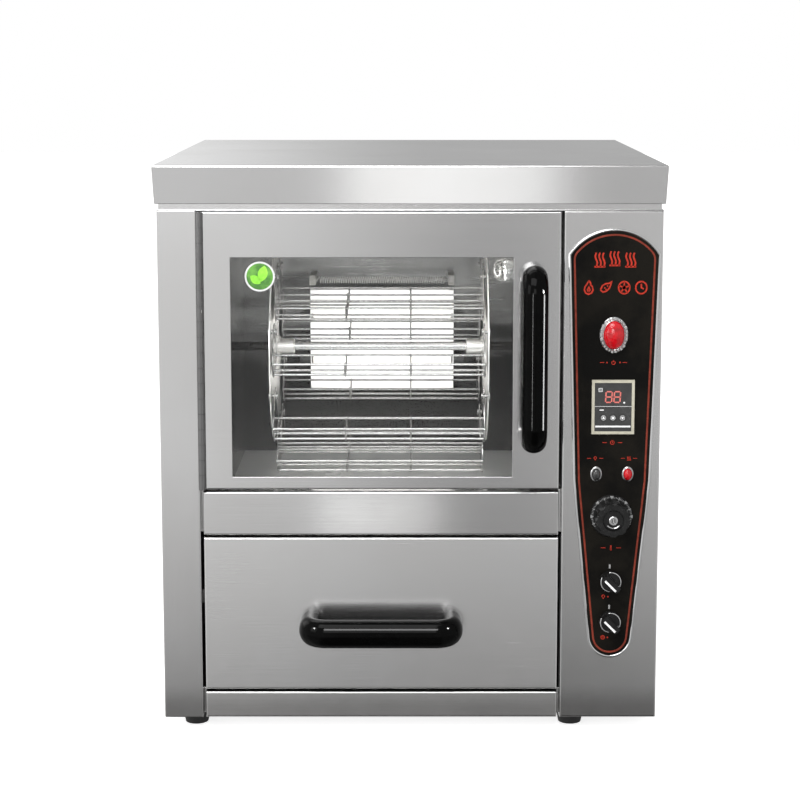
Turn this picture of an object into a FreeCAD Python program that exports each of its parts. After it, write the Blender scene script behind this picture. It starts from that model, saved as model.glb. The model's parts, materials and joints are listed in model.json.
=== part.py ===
"""Counter-top oven with a turning wheel of hanging baskets over a warming drawer.

The frame: X to the right, Y to the back, Z up, millimetres. The origin lies on the
surface that the feet stand on, in the middle of the whole outline.
"""
import FreeCAD, Part
import math
import os
import re

import Sketcher

Vector = FreeCAD.Vector

# Counts and shares

BASKETS = 8
BASKET_STEP = 360.0 / BASKETS
DISC_HOLES = 6
KNUCKLES = 18
DIAL_SCALLOPS = 9
VENT_ROWS = 8
SCREW_HEIGHT_SHARES = (0.06, 0.35, 0.65, 0.94)
CROSS_WIRE_SHARES = (0.34, 0.65)
BACK_VENT_SHARE = 0.52
SIDE_VENT_SHARE = 0.6
HALF = 0.5
NEAR_SHARE = 0.1
SAMPLE_SHARE = 0.25

# Driving sizes in millimetres, degrees where the name says so

SIZES = (
    # Casing
    ("foot_height", 16.2),
    ("skin", 1.2),
    ("rear_space", 160.5),
    ("fold_radius", 1.6),
    ("post_width", 45.3),
    ("column_width", 112.6),
    ("hinge_gap", 5.8),
    ("side_gap", 3.4),
    ("seam", 3.3),
    ("top_gap", 0.8),
    ("bottom_rail_height", 30.8),
    ("drawer_height", 182.1),
    ("mid_rail_height", 51.0),
    ("rail_depth", 18.0),
    ("return_depth", 30.0),
    ("panel_joint", 0.5),
    ("rear_flange", 18.0),
    ("rear_reach", 18.0),
    ("base_upstand", 14.0),
    ("overrun", 2.0),
    # Lid
    ("lid_overhang", 4.7),
    ("lid_skirt", 44.1),
    ("lid_taper", 2.3),
    ("lid_skin", 1.5),
    ("lid_fold_radius", 2.4),
    ("recess_height", 7.0),
    ("recess_inset", 2.0),
    # Feet
    ("foot_top_radius", 17.0),
    ("foot_low_radius", 13.5),
    ("left_foot_inset", 34.0),
    ("right_foot_inset", 14.8),
    ("foot_depth_inset", 36.0),
    # Door
    ("door_depth", 22.0),
    ("stile_left", 31.9),
    ("stile_right", 54.0),
    ("door_rail_low", 14.5),
    ("door_rail_high", 52.5),
    ("glass_thickness", 4.0),
    ("glass_lap", 9.0),
    ("gasket_thickness", 1.5),
    ("gasket_lap", 7.0),
    ("door_play", 0.3),
    ("seal_gap", 2.5),
    # Piano hinge
    ("barrel_radius", 3.8),
    ("hinge_pin_radius", 1.6),
    ("hinge_play", 0.06),
    ("leaf_thickness", 1.2),
    ("leaf_depth", 18.0),
    ("knuckle_gap", 0.4),
    # Handles
    ("finger_gap", 24.0),
    ("grip_depth", 26.0),
    ("door_grip_width", 29.0),
    ("door_handle_length", 216.0),
    ("door_handle_rise", 47.0),
    ("door_handle_inset", 31.0),
    ("drawer_grip_width", 33.0),
    ("drawer_handle_length", 190.0),
    ("drawer_handle_rise", 78.0),
    ("grip_bend", 19.0),
    # Drawer
    ("tray_rear_gap", 127.0),
    ("tray_side_gap", 12.0),
    ("tray_low_gap", 9.0),
    ("tray_high_gap", 22.0),
    ("runner_width", 9.0),
    ("runner_height", 16.0),
    ("runner_skin", 1.5),
    ("runner_rise", 96.0),
    ("slide_play", 0.5),
    # Cavity
    ("board_gap", 3.0),
    ("right_lagging", 35.7),
    ("floor_rise", 14.5),
    ("ceiling_gap", 38.0),
    ("wheel_front_gap", 48.5),
    ("liner_skin", 1.0),
    ("board_thickness", 14.0),
    # Wheel
    ("wheel_left_gap", 56.0),
    ("wheel_right_gap", 45.0),
    ("floor_gap", 19.0),
    ("roof_gap", 33.0),
    ("wheel_width", 261.0),
    ("disc_thickness", 1.5),
    ("disc_rim", 14.0),
    ("pivot_radius", 104.0),
    ("shaft_radius", 5.5),
    ("hub_radius", 9.5),
    ("hub_length", 22.0),
    ("disc_hole_radius", 8.0),
    ("disc_hole_pitch_radius", 34.0),
    ("bearing_thickness", 12.0),
    ("bearing_radius", 19.0),
    ("shaft_play", 0.05),
    ("wall_hole_play", 3.0),
    ("basket_side_gap", 3.5),
    ("basket_plate", 1.2),
    ("basket_gap", 3.6),
    ("stack_gap", 18.6),
    ("basket_wall", 18.0),
    ("basket_splay", 19.0),
    ("ear_half_width", 6.5),
    ("ear_rise", 9.0),
    ("rod_radius", 1.5),
    ("rod_inset", 2.6),
    ("cross_wire_radius", 1.1),
    ("basket_pin_radius", 2.5),
    ("basket_pin_play", 0.08),
    ("pin_head_radius", 4.5),
    ("pin_head_thickness", 1.8),
    ("pin_clip_radius", 3.8),
    ("pin_clip_gap", 0.6),
    ("first_basket_degrees", 18.0),
    # Heaters
    ("sweep_gap", 8.0),
    ("reflector_inset", 35.5),
    ("reflector_height", 132.0),
    ("reflector_drop", 14.0),
    ("reflector_depth", 18.0),
    ("leg_length", 31.5),
    ("reflector_skin", 1.0),
    ("tube_spacing", 57.0),
    ("tube_radius", 5.0),
    ("tube_cap_radius", 6.5),
    ("tube_cap_length", 14.0),
    ("tube_hole_play", 0.6),
    ("leg_width", 14.0),
    ("leg_height", 24.0),
    ("coil_rise", 13.0),
    ("coil_inset", 7.0),
    ("coil_pitch", 3.07),
    ("coil_radius", 4.0),
    ("coil_wire_radius", 0.6),
    ("coil_lead", 5.0),
    ("holder_width", 8.0),
    ("holder_height", 13.0),
    # Drive
    ("coupling_radius", 11.0),
    ("coupling_end_gap", 1.2),
    ("stub_radius", 4.5),
    ("stub_bore_depth", 24.0),
    ("stub_end_gap", 2.0),
    ("gearbox_length", 45.0),
    ("gearbox_side", 60.0),
    ("motor_gap", 15.2),
    ("motor_radius", 27.0),
    # Oven lamp
    ("lamp_depth", 96.0),
    ("lamp_drop", 42.0),
    ("lamp_base_radius", 15.0),
    ("lamp_base_length", 10.0),
    ("lamp_glass_radius", 11.0),
    ("lamp_glass_length", 20.0),
    # Door catch
    ("catch_height", 48.0),
    ("catch_width", 12.0),
    ("catch_depth", 14.0),
    ("catch_inset", 20.0),
    ("catch_play", 0.4),
    # Control plate
    ("control_shift", 1.3),
    ("plate_thickness", 1.5),
    ("plate_margin", 7.6),
    ("plate_top_gap", 24.2),
    ("plate_headroom", 98.0),
    ("plate_knee_inset", 8.0),
    ("plate_foot_radius", 23.5),
    ("plate_shoulder_drop", 27.0),
    ("plate_knee_rise", 208.0),
    ("main_bezel_width", 33.0),
    ("main_bezel_height", 42.0),
    ("main_lens_width", 25.0),
    ("main_lens_height", 34.0),
    ("main_lens_reach", 9.0),
    ("bezel_reach", 4.0),
    ("lamp_shank_radius", 9.0),
    ("lamp_shank_length", 26.0),
    ("small_lamp_spacing", 36.5),
    ("small_lamp_gap", 38.5),
    ("small_bezel_width", 14.0),
    ("small_bezel_height", 18.0),
    ("small_lens_width", 10.5),
    ("small_lens_height", 14.0),
    ("small_lens_reach", 6.0),
    ("small_bezel_reach", 2.6),
    ("small_shank_radius", 4.0),
    ("lens_play", 0.2),
    ("timer_gap", 31.0),
    ("timer_width", 49.0),
    ("timer_tall", 63.0),
    ("timer_reach", 3.6),
    ("timer_rim", 3.2),
    ("timer_recess", 1.0),
    ("timer_body_inset", 2.5),
    ("timer_body_depth", 58.0),
    ("timer_button_drop", 12.5),
    ("timer_button_spacing", 10.9),
    ("timer_button_radius", 3.1),
    ("timer_button_reach", 1.2),
    ("timer_button_length", 4.6),
    ("timer_button_play", 0.35),
    ("timer_bore_depth", 5.5),
    ("dial_skirt_radius", 25.0),
    ("dial_gap", 15.5),
    ("dial_skirt_thickness", 3.0),
    ("dial_grip_radius", 20.5),
    ("dial_grip_reach", 25.0),
    ("dial_face_radius", 13.0),
    ("dial_scallop_radius", 8.0),
    ("dial_scallop_depth", 2.6),
    ("spindle_radius", 3.0),
    ("spindle_tip", 2.0),
    ("spindle_sink", 8.0),
    ("knob_gap", 0.6),
    ("spindle_play", 0.4),
    ("thermostat_side", 44.0),
    ("thermostat_depth", 30.0),
    ("upper_switch_gap", 39.7),
    ("switch_gap", 22.9),
    ("switch_rise", 41.0),
    ("switch_skirt_radius", 12.8),
    ("switch_skirt_thickness", 6.0),
    ("switch_grip_width", 8.0),
    ("switch_grip_reach", 17.0),
    ("switch_grip_degrees", 45.0),
    ("switch_body_radius", 14.0),
    ("switch_body_depth", 32.0),
    ("switch_neck_radius", 6.0),
    # Cable gland, vents and screws at the back
    ("gland_inset", 62.0),
    ("gland_height", 64.0),
    ("gland_nut_radius", 13.0),
    ("gland_nut_thickness", 7.0),
    ("gland_dome_radius", 9.5),
    ("gland_bore_radius", 4.5),
    ("gland_shank_length", 12.0),
    ("vent_length", 62.0),
    ("vent_width", 6.0),
    ("vent_pitch", 16.0),
    ("vent_column_offset", 90.0),
    ("screw_head_radius", 4.2),
    ("screw_head_thickness", 2.0),
    ("screw_radius", 2.0),
    ("screw_length", 9.0),
    ("screw_inset", 9.5),
)

# Sizes that follow from others, and places: x, y and z in the frame above

PLACES = (
    # The wheel with its baskets sets the oven's inside
    ("basket_pitch", "2 * pivot_radius * sin(%s)" % (BASKET_STEP / 2)),
    ("rim_half_width", "(basket_pitch - basket_gap) / 2"),
    ("floor_half_width", "rim_half_width - basket_splay"),
    ("hang_depth", "basket_pitch - ear_rise - stack_gap"),
    ("rim_drop", "hang_depth - basket_wall"),
    ("disc_radius", "pivot_radius + disc_rim"),
    ("sweep_radius", "pivot_radius + rim_half_width"),
    ("left_lagging", "board_gap + board_thickness + liner_skin"),
    # The casing's width
    ("body_width", "post_width + left_lagging + wheel_left_gap + wheel_width + 2 * disc_thickness"
                   " + wheel_right_gap + right_lagging + column_width"),
    ("left", "-body_width / 2"),
    ("right", "body_width / 2"),
    ("post_right", "left + post_width"),
    ("column_left", "right - column_width"),
    ("partition_right", "column_left + skin"),
    ("rail_left", "post_right + side_gap"),
    ("rail_right", "column_left - side_gap"),
    ("door_left", "post_right + hinge_gap"),
    ("door_right", "rail_right"),
    ("hinge_x", "post_right + hinge_gap / 2"),
    ("cavity_left", "post_right + left_lagging"),
    ("cavity_right", "column_left - right_lagging"),
    ("liner_left", "cavity_left - liner_skin"),
    ("liner_right", "cavity_right + liner_skin"),
    ("wheel_left", "cavity_left + wheel_left_gap + disc_thickness"),
    ("wheel_right", "wheel_left + wheel_width"),
    ("wheel_middle", "(wheel_left + wheel_right) / 2"),
    ("basket_left", "wheel_left + basket_side_gap"),
    ("basket_right", "wheel_right - basket_side_gap"),
    # Its depth
    ("body_depth",
     "door_depth + seal_gap + wheel_front_gap + 2 * sweep_radius + sweep_gap + reflector_depth"
                   " + leg_length + rear_space"),
    ("handle_reach", "finger_gap + grip_depth"),
    ("front", "-(body_depth + rear_reach - handle_reach) / 2"),
    ("back", "front + body_depth"),
    ("base_back", "back - 2 * skin"),
    ("rail_back", "front + rail_depth"),
    ("column_back", "front + return_depth + panel_joint"),
    ("door_back", "front + door_depth"),
    ("gasket_back", "front + skin + gasket_thickness"),
    ("glass_back", "gasket_back + glass_thickness"),
    ("hinge_y", "front - barrel_radius - knuckle_gap"),
    ("cavity_front", "door_back + seal_gap"),
    ("wheel_y", "cavity_front + wheel_front_gap + sweep_radius"),
    ("reflector_y", "wheel_y + sweep_radius + sweep_gap"),
    ("reflector_back", "reflector_y + reflector_depth"),
    ("cavity_back", "reflector_back + leg_length"),
    ("liner_back", "cavity_back + liner_skin"),
    # Its height
    ("bottom", "foot_height"),
    ("bottom_rail_high", "bottom + bottom_rail_height"),
    ("drawer_low", "bottom_rail_high + seam"),
    ("drawer_high", "drawer_low + drawer_height"),
    ("mid_low", "drawer_high + seam"),
    ("mid_high", "mid_low + mid_rail_height"),
    ("cavity_low", "mid_low + floor_rise"),
    ("wheel_z", "cavity_low + floor_gap + hang_depth + pivot_radius"),
    ("cavity_high", "wheel_z + disc_radius + roof_gap"),
    ("top", "cavity_high + ceiling_gap"),
    ("body_height", "top - bottom"),
    ("liner_low", "cavity_low - liner_skin"),
    ("liner_high", "cavity_high + liner_skin"),
    ("lid_low", "top + recess_height"),
    ("lid_high", "lid_low + lid_skirt"),
    ("door_low", "mid_high + seam"),
    ("door_high", "top - skin - top_gap"),
    # Door
    ("window_left", "door_left + stile_left"),
    ("window_right", "door_right - stile_right"),
    ("window_low", "door_low + door_rail_low"),
    ("window_high", "door_high - door_rail_high"),
    ("door_handle_x", "door_right - door_handle_inset"),
    ("door_handle_low", "door_low + door_handle_rise"),
    ("catch_low_x", "cavity_right + catch_inset - catch_width / 2"),
    ("catch_high_x", "catch_low_x + catch_width"),
    ("catch_low_z", "(door_low + door_high - catch_height) / 2"),
    ("catch_high_z", "catch_low_z + catch_height"),
    ("catch_front", "door_back + catch_play"),
    ("catch_back", "catch_front + catch_depth"),
    # Drawer
    ("tray_left", "rail_left + tray_side_gap"),
    ("tray_right", "rail_right - tray_side_gap"),
    ("tray_low", "drawer_low + tray_low_gap"),
    ("tray_high", "drawer_high - tray_high_gap"),
    ("tray_back", "back - tray_rear_gap"),
    ("runner_low", "drawer_low + runner_rise"),
    ("runner_high", "runner_low + runner_height"),
    ("drawer_handle_z", "drawer_low + drawer_handle_rise"),
    # Heaters and lamp
    ("reflector_left", "wheel_left + reflector_inset"),
    ("reflector_right", "wheel_right - reflector_inset"),
    ("reflector_z", "wheel_z - reflector_drop"),
    ("reflector_low", "reflector_z - reflector_height / 2"),
    ("reflector_high", "reflector_z + reflector_height / 2"),
    ("coil_y", "reflector_y + coil_radius + coil_wire_radius"),
    ("coil_z", "reflector_high + coil_rise"),
    ("coil_left", "reflector_left + coil_inset"),
    ("coil_right", "reflector_right - coil_inset"),
    ("lamp_y", "front + lamp_depth"),
    ("lamp_z", "cavity_high - lamp_drop"),
    # Drive
    ("bearing_left", "liner_left - bearing_thickness"),
    ("bearing_right", "liner_right + bearing_thickness"),
    ("coupling_left", "bearing_right + coupling_end_gap"),
    ("coupling_right", "column_left - coupling_end_gap"),
    ("shaft_left", "bearing_left - coupling_end_gap"),
    ("shaft_right", "(coupling_left + coupling_right) / 2"),
    ("gearbox_right", "partition_right + gearbox_length"),
    ("motor_right", "right - skin - motor_gap"),
    # Control plate, from its arched head down to its foot
    ("control_x", "column_left + column_width / 2 + control_shift"),
    ("plate_half_width", "column_width / 2 - plate_margin + control_shift"),
    ("plate_knee_half_width", "plate_half_width - plate_knee_inset"),
    ("plate_high", "top - plate_top_gap"),
    ("main_lamp_z", "plate_high - plate_headroom - main_bezel_height / 2"),
    ("timer_z", "main_lamp_z - main_bezel_height / 2 - timer_gap - timer_tall / 2"),
    ("small_lamp_z", "timer_z - timer_tall / 2 - small_lamp_gap - small_bezel_height / 2"),
    ("dial_z", "small_lamp_z - small_bezel_height / 2 - dial_gap - dial_skirt_radius"),
    ("upper_switch_z", "dial_z - dial_skirt_radius - upper_switch_gap - switch_skirt_radius"),
    ("lower_switch_z", "upper_switch_z - 2 * switch_skirt_radius - switch_gap"),
    ("plate_low", "lower_switch_z - switch_rise"),
    ("plate_front", "front - plate_thickness"),
    ("timer_front", "plate_front - timer_reach"),
    ("timer_face", "timer_front + timer_recess"),
    ("timer_button_z", "timer_z - timer_button_drop"),
    ("gland_x", "right - gland_inset"),
)

doc = FreeCAD.newDocument("basket_oven")
sheet = doc.addObject("Spreadsheet::Sheet", "Sizes")
places = doc.addObject("App::VarSet", "Places")
owner = {}
sub_parts = []


def fill_sheet():
    for row, (name, number) in enumerate(SIZES, start=1):
        sheet.set("A%d" % row, name)
        sheet.set("B%d" % row, str(number))
        sheet.setAlias("B%d" % row, name)
        owner[name] = "Sizes."
    doc.recompute()


def formula(text):
    """Point each plain name at the sheet or at the list of places."""
    return re.sub(r"[A-Za-z_]\w*", lambda word: owner.get(word.group(), "") + word.group(), text)


def bind(item, prop, text):
    item.setExpression(prop, formula(text))


def fill_places():
    for name, text in PLACES:
        places.addProperty("App::PropertyFloat", name, "Places")
        bind(places, name, text)
        owner[name] = "Places."
    doc.recompute()


def size(name):
    """The number behind a name, for the shapes that are computed here."""
    return float(getattr(sheet if owner[name] == "Sizes." else places, name))


# Solids and how they are put together

TURNS = {
    "x": FreeCAD.Rotation(Vector(0, 1, 0), 90),
    "y": FreeCAD.Rotation(Vector(1, 0, 0), -90),
    "z": FreeCAD.Rotation(),
}


def box(name, x, y, z):
    """A block between pairs of places."""
    item = doc.addObject("Part::Box", name)
    for axis, side, (low, high) in zip("xyz", ("Length", "Width", "Height"), (x, y, z)):
        bind(item, "Placement.Base." + axis, low)
        bind(item, side, "(%s) - (%s)" % (high, low))
    return item


def stand(item, axis, start, across):
    """Turn a round solid to an axis and put its start at a place."""
    item.Placement = FreeCAD.Placement(Vector(), TURNS[axis])
    others = [letter for letter in "xyz" if letter != axis]
    bind(item, "Placement.Base." + axis, start)
    for letter, text in zip(others, across):
        bind(item, "Placement.Base." + letter, text)


def lean(item, axis, degrees):
    """Turn a solid about an axis by a bound angle."""
    item.Placement = FreeCAD.Placement(Vector(), FreeCAD.Rotation(axis, 1))
    bind(item, "Placement.Rotation.Angle", degrees)


def rod(name, axis, span, across, radius):
    """A round bar along an axis, between two places."""
    item = doc.addObject("Part::Cylinder", name)
    stand(item, axis, span[0], across)
    bind(item, "Height", "(%s) - (%s)" % (span[1], span[0]))
    bind(item, "Radius", radius)
    return item


def cone(name, axis, span, across, radii):
    item = doc.addObject("Part::Cone", name)
    stand(item, axis, span[0], across)
    bind(item, "Height", "(%s) - (%s)" % (span[1], span[0]))
    bind(item, "Radius1", radii[0])
    bind(item, "Radius2", radii[1])
    return item


def dome(name, centre, half_sizes):
    """A half ellipsoid that stands out towards the front."""
    item = doc.addObject("Part::Ellipsoid", name)
    for prop, text in zip(("Radius2", "Radius3", "Radius1"), half_sizes):
        bind(item, prop, text)
    for axis, text in zip("xyz", centre):
        bind(item, "Placement.Base." + axis, text)
    reach = ["(%s) + overrun" % text for text in half_sizes]
    sides = [("%s - (%s)" % (place, span), "%s + %s" % (place, span)) for place, span in zip(centre, reach)]
    behind = box(name + "_behind", sides[0], (centre[1], sides[1][1]), sides[2])
    return cut(name + "_front", item, behind)


def fuse(name, *items):
    item = doc.addObject("Part::MultiFuse", name)
    item.Shapes = list(items)
    item.Refine = True
    return item


def cut(name, base, *tools):
    item = doc.addObject("Part::Cut", name)
    item.Base = base
    item.Tool = tools[0] if len(tools) == 1 else fuse(name + "_cuts", *tools)
    return item


def group(name, items):
    item = doc.addObject("Part::Compound", name)
    item.Links = list(items)
    return item


def sub_part(label, item):
    item.Label = label
    sub_parts.append(item)
    return item


def computed(name, shape):
    """A shape from arcs and sweeps that the plain solids can't give."""
    item = doc.addObject("Part::Feature", name)
    item.Shape = shape
    item.Placement = FreeCAD.Placement()
    return item


# Sketched sheet parts

def pin_point(sketch, line, end, x, z):
    for kind, text in (("DistanceX", x), ("DistanceY", z)):
        number = sketch.addConstraint(Sketcher.Constraint(kind, -1, 1, line, end, 1.0))
        bind(sketch, "Constraints[%d]" % number, text)


def draw_outline(sketch, corners):
    """A closed outline of straight lines through named corners."""
    first = sketch.GeometryCount
    count = len(corners)
    rough = [Vector(math.cos(2 * math.pi * k / count),
                    math.sin(2 * math.pi * k / count)) for k in range(count)]
    for k in range(count):
        sketch.addGeometry(Part.LineSegment(rough[k], rough[(k + 1) % count]))
    for k in range(count):
        sketch.addConstraint(Sketcher.Constraint("Coincident", first + k, 2, first + (k + 1) % count, 1))
    for k, (x, z) in enumerate(corners):
        pin_point(sketch, first + k, 1, x, z)


def draw_circle(sketch, x, z, radius):
    number = sketch.addGeometry(Part.Circle(Vector(), Vector(0, 0, 1), 1.0))
    pin_point(sketch, number, 3, x, z)
    limit = sketch.addConstraint(Sketcher.Constraint("Radius", number, 1.0))
    bind(sketch, "Constraints[%d]" % limit, radius)


def rectangle(left, right, low, high):
    return [(left, low), (right, low), (right, high), (left, high)]


def new_sketch(body, name, role, offset="0"):
    sketch = body.newObject("Sketcher::SketchObject", name)
    plane = [item for item in body.Origin.OriginFeatures if item.Role == role][0]
    sketch.AttachmentSupport = [(plane, "")]
    sketch.MapMode = "FlatFace"
    if offset != "0":
        bind(sketch, "AttachmentOffset.Base.z", offset)
    return sketch


def edge_names(shape, wanted):
    return ["Edge%d" % (k + 1) for k, edge in enumerate(shape.Edges) if wanted(edge)]


def flat_at(axis, place):
    """A test for edges that lie in the plane at a place on one axis."""
    near = size("skin") * NEAR_SHARE
    return lambda edge: all(abs(getattr(v, axis) - place) < near for v in edge.Vertexes)


def pan(label, outline, depth, wall, windows=(), circles=()):
    """A folded sheet tray: its face looks to the front, its rim reaches back."""
    body = doc.addObject("PartDesign::Body", label)
    bind(body, "Placement.Base.y", "front")
    left, right, low, high = outline
    face = new_sketch(body, label + "_face", "XZ_Plane")
    draw_outline(face, rectangle(left, right, low, high))
    block = body.newObject("PartDesign::Pad", label + "_block")
    block.Profile = face
    block.Reversed = True
    bind(block, "Length", depth)
    doc.recompute()
    fold = body.newObject("PartDesign::Fillet", label + "_fold")
    fold.Base = (block, edge_names(block.Shape, flat_at("Y", 0)))
    bind(fold, "Radius", "fold_radius")
    inside = new_sketch(body, label + "_inside", "XZ_Plane", "-(%s)" % wall)
    draw_outline(inside, rectangle("(%s) + (%s)" % (left, wall), "(%s) - (%s)" % (right, wall),
                                   "(%s) + (%s)" % (low, wall), "(%s) - (%s)" % (high, wall)))
    hollow = body.newObject("PartDesign::Pocket", label + "_hollow")
    hollow.Profile = inside
    bind(hollow, "Length", depth)
    if windows or circles:
        openings = new_sketch(body, label + "_openings", "XZ_Plane")
        for window in windows:
            draw_outline(openings, rectangle(*window))
        for circle in circles:
            draw_circle(openings, *circle)
        through = body.newObject("PartDesign::Pocket", label + "_through")
        through.Profile = openings
        bind(through, "Length", depth)
    return sub_part(label, body)


# Casing

def make_casing():
    left_side = fuse(
        "left_side_folded",
        box("left_side_sheet", ("left", "left + skin"), ("front", "back"), ("bottom", "top - skin")),
        box("left_side_post", ("left", "post_right"), ("front", "front + skin"), ("bottom", "top - skin")),
        box("left_side_return", ("post_right - skin", "post_right"), ("front", "front + return_depth"),
            ("bottom + skin", "top - skin")),
        box("left_side_flange", ("left", "left + rear_flange"), ("back - 2 * skin", "back - skin"),
            ("bottom", "top - skin")))
    folded = rounded("left_side_fold", left_side, front_fold_edges)
    sub_part("left_side_panel", cut("left_side_pierced", folded, *flange_holes("left")))

    right_side = fuse(
        "right_side_folded",
        box("right_side_sheet", ("right - skin", "right"), ("column_back", "back"),
            ("bottom", "top - skin")),
        box("right_side_flange", ("right - rear_flange", "right"), ("back - 2 * skin", "back - skin"),
            ("bottom", "top - skin")))
    holes = flange_holes("right")
    for row in range(VENT_ROWS):
        low = "bottom + body_height * %s + vent_pitch * %d" % (SIDE_VENT_SHARE, row)
        holes.append(box("side_vent_%d" % row, ("right - skin - overrun", "right + overrun"),
                         ("wheel_y - vent_length / 2", "wheel_y + vent_length / 2"),
                         (low, low + " + vent_width")))
    sub_part("right_side_panel", cut("right_side_pierced", right_side, *holes))

    sub_part("base_pan", fuse(
        "base_folded",
        box("base_sheet", ("left + skin", "column_left"), ("rail_back", "base_back"),
            ("bottom", "bottom + skin")),
        box("base_sheet_right", ("column_left", "right - skin"), ("column_back", "base_back"),
            ("bottom", "bottom + skin")),
        box("base_left_upstand", ("left + skin", "left + 2 * skin"), ("front + return_depth", "base_back"),
            ("bottom", "bottom + base_upstand")),
        box("base_right_upstand", ("right - 2 * skin", "right - skin"),
            ("column_back", "base_back"), ("bottom", "bottom + base_upstand"))))

    for label, low, high in (("mid_rail", "mid_low", "mid_high"),
                             ("bottom_rail", "bottom", "bottom_rail_high")):
        make_rail(label, low, high)

    top_sheet = box("top_sheet", ("left", "right"), ("front", "back"), ("top - skin", "top"))
    collar = ring("top_collar", ("left + recess_inset", "right - recess_inset"),
                  ("front + recess_inset", "back - recess_inset"), ("top", "lid_high - lid_skin"), "skin")
    sub_part("top_panel", fuse("top_folded", top_sheet, collar))
    make_lid()
    make_back_panel()
    make_partitions()


def ring(name, x, y, z, wall):
    """Four upright walls round a rectangle."""
    outer = box(name + "_outer", x, y, z)
    inner = box(name + "_inner", ("%s + %s" % (x[0], wall), "%s - %s" % (x[1], wall)),
                ("%s + %s" % (y[0], wall), "%s - %s" % (y[1], wall)),
                ("%s - overrun" % z[0], "%s + overrun" % z[1]))
    return cut(name, outer, inner)


def front_fold_edges(edge):
    """The upright edges where the post's face folds back."""
    near = size("skin") * NEAR_SHARE
    upright = edge.Length > size("body_height") * HALF
    sides = (size("left"), size("post_right"))
    on_face = all(abs(v.Y - size("front")) < near for v in edge.Vertexes)
    return upright and on_face and any(abs(edge.Vertexes[0].X - side) < near for side in sides)


def rounded(name, item, wanted, radius="fold_radius"):
    """Round the edges that a test picks out."""
    doc.recompute()
    numbers = [k + 1 for k, edge in enumerate(item.Shape.Edges) if wanted(edge)]
    fold = doc.addObject("Part::Fillet", name)
    fold.Base = item
    fold.Edges = [(number, size(radius), size(radius)) for number in numbers]
    return fold


def make_rail(label, low, high):
    """A fixed front rail: a tray with a hidden bar that bridges post and column."""
    face = box(label + "_block", ("rail_left", "rail_right"), ("front", "rail_back"), (low, high))
    folded = rounded(label + "_fold", face, flat_at("Y", size("front")))
    hollow = box(label + "_hollow", ("rail_left + skin", "rail_right - skin"),
                 ("front + skin", "rail_back + overrun"),
                 (low + " + skin", high + " - skin"))
    bridge = box(label + "_bridge", ("post_right", "column_left"), ("rail_back - skin", "rail_back"),
                 (low, high))
    sub_part(label, fuse(label + "_welded", cut(label + "_tray", folded, hollow), bridge))


def make_lid():
    body = doc.addObject("PartDesign::Body", "lid")
    bind(body, "Placement.Base.z", "lid_high")
    spread = ["left - lid_overhang", "right + lid_overhang", "front - lid_overhang", "back + lid_overhang"]
    taper = "atan(lid_taper / lid_skirt)"
    face = new_sketch(body, "lid_face", "XY_Plane")
    draw_outline(face, rectangle(*spread))
    block = body.newObject("PartDesign::Pad", "lid_block")
    block.Profile = face
    block.Reversed = True
    bind(block, "Length", "lid_skirt")
    bind(block, "TaperAngle", "-" + taper)
    doc.recompute()
    fold = body.newObject("PartDesign::Fillet", "lid_fold")
    fold.Base = (block,
                 edge_names(block.Shape, lambda edge: edge.BoundBox.ZMax > -size("skin") * NEAR_SHARE))
    bind(fold, "Radius", "lid_fold_radius")
    inside = new_sketch(body, "lid_inside", "XY_Plane", "-lid_skin")
    draw_outline(inside,
                 rectangle(*("(%s) %s lid_skin" % (text, sign) for text, sign in zip(spread, "+-+-"))))
    hollow = body.newObject("PartDesign::Pocket", "lid_hollow")
    hollow.Profile = inside
    bind(hollow, "Length", "lid_skirt")
    bind(hollow, "TaperAngle", "-" + taper)
    sub_part("lid", body)


def screw_places():
    """Names, x and z of the screws down both sides of the back."""
    found = []
    for side, x in (("left", "left + screw_inset"), ("right", "right - screw_inset")):
        for number, share in enumerate(SCREW_HEIGHT_SHARES):
            found.append(("screw_%s_%d" % (side, number), x, "bottom + body_height * %s" % share))
    return found


def flange_holes(side):
    """Holes through one side panel's rear flange for its screws."""
    return [rod(name + "_flange_hole", "y", ("back - 3 * skin", "back"), (x, z), "screw_radius")
            for name, x, z in screw_places() if side in name]


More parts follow.
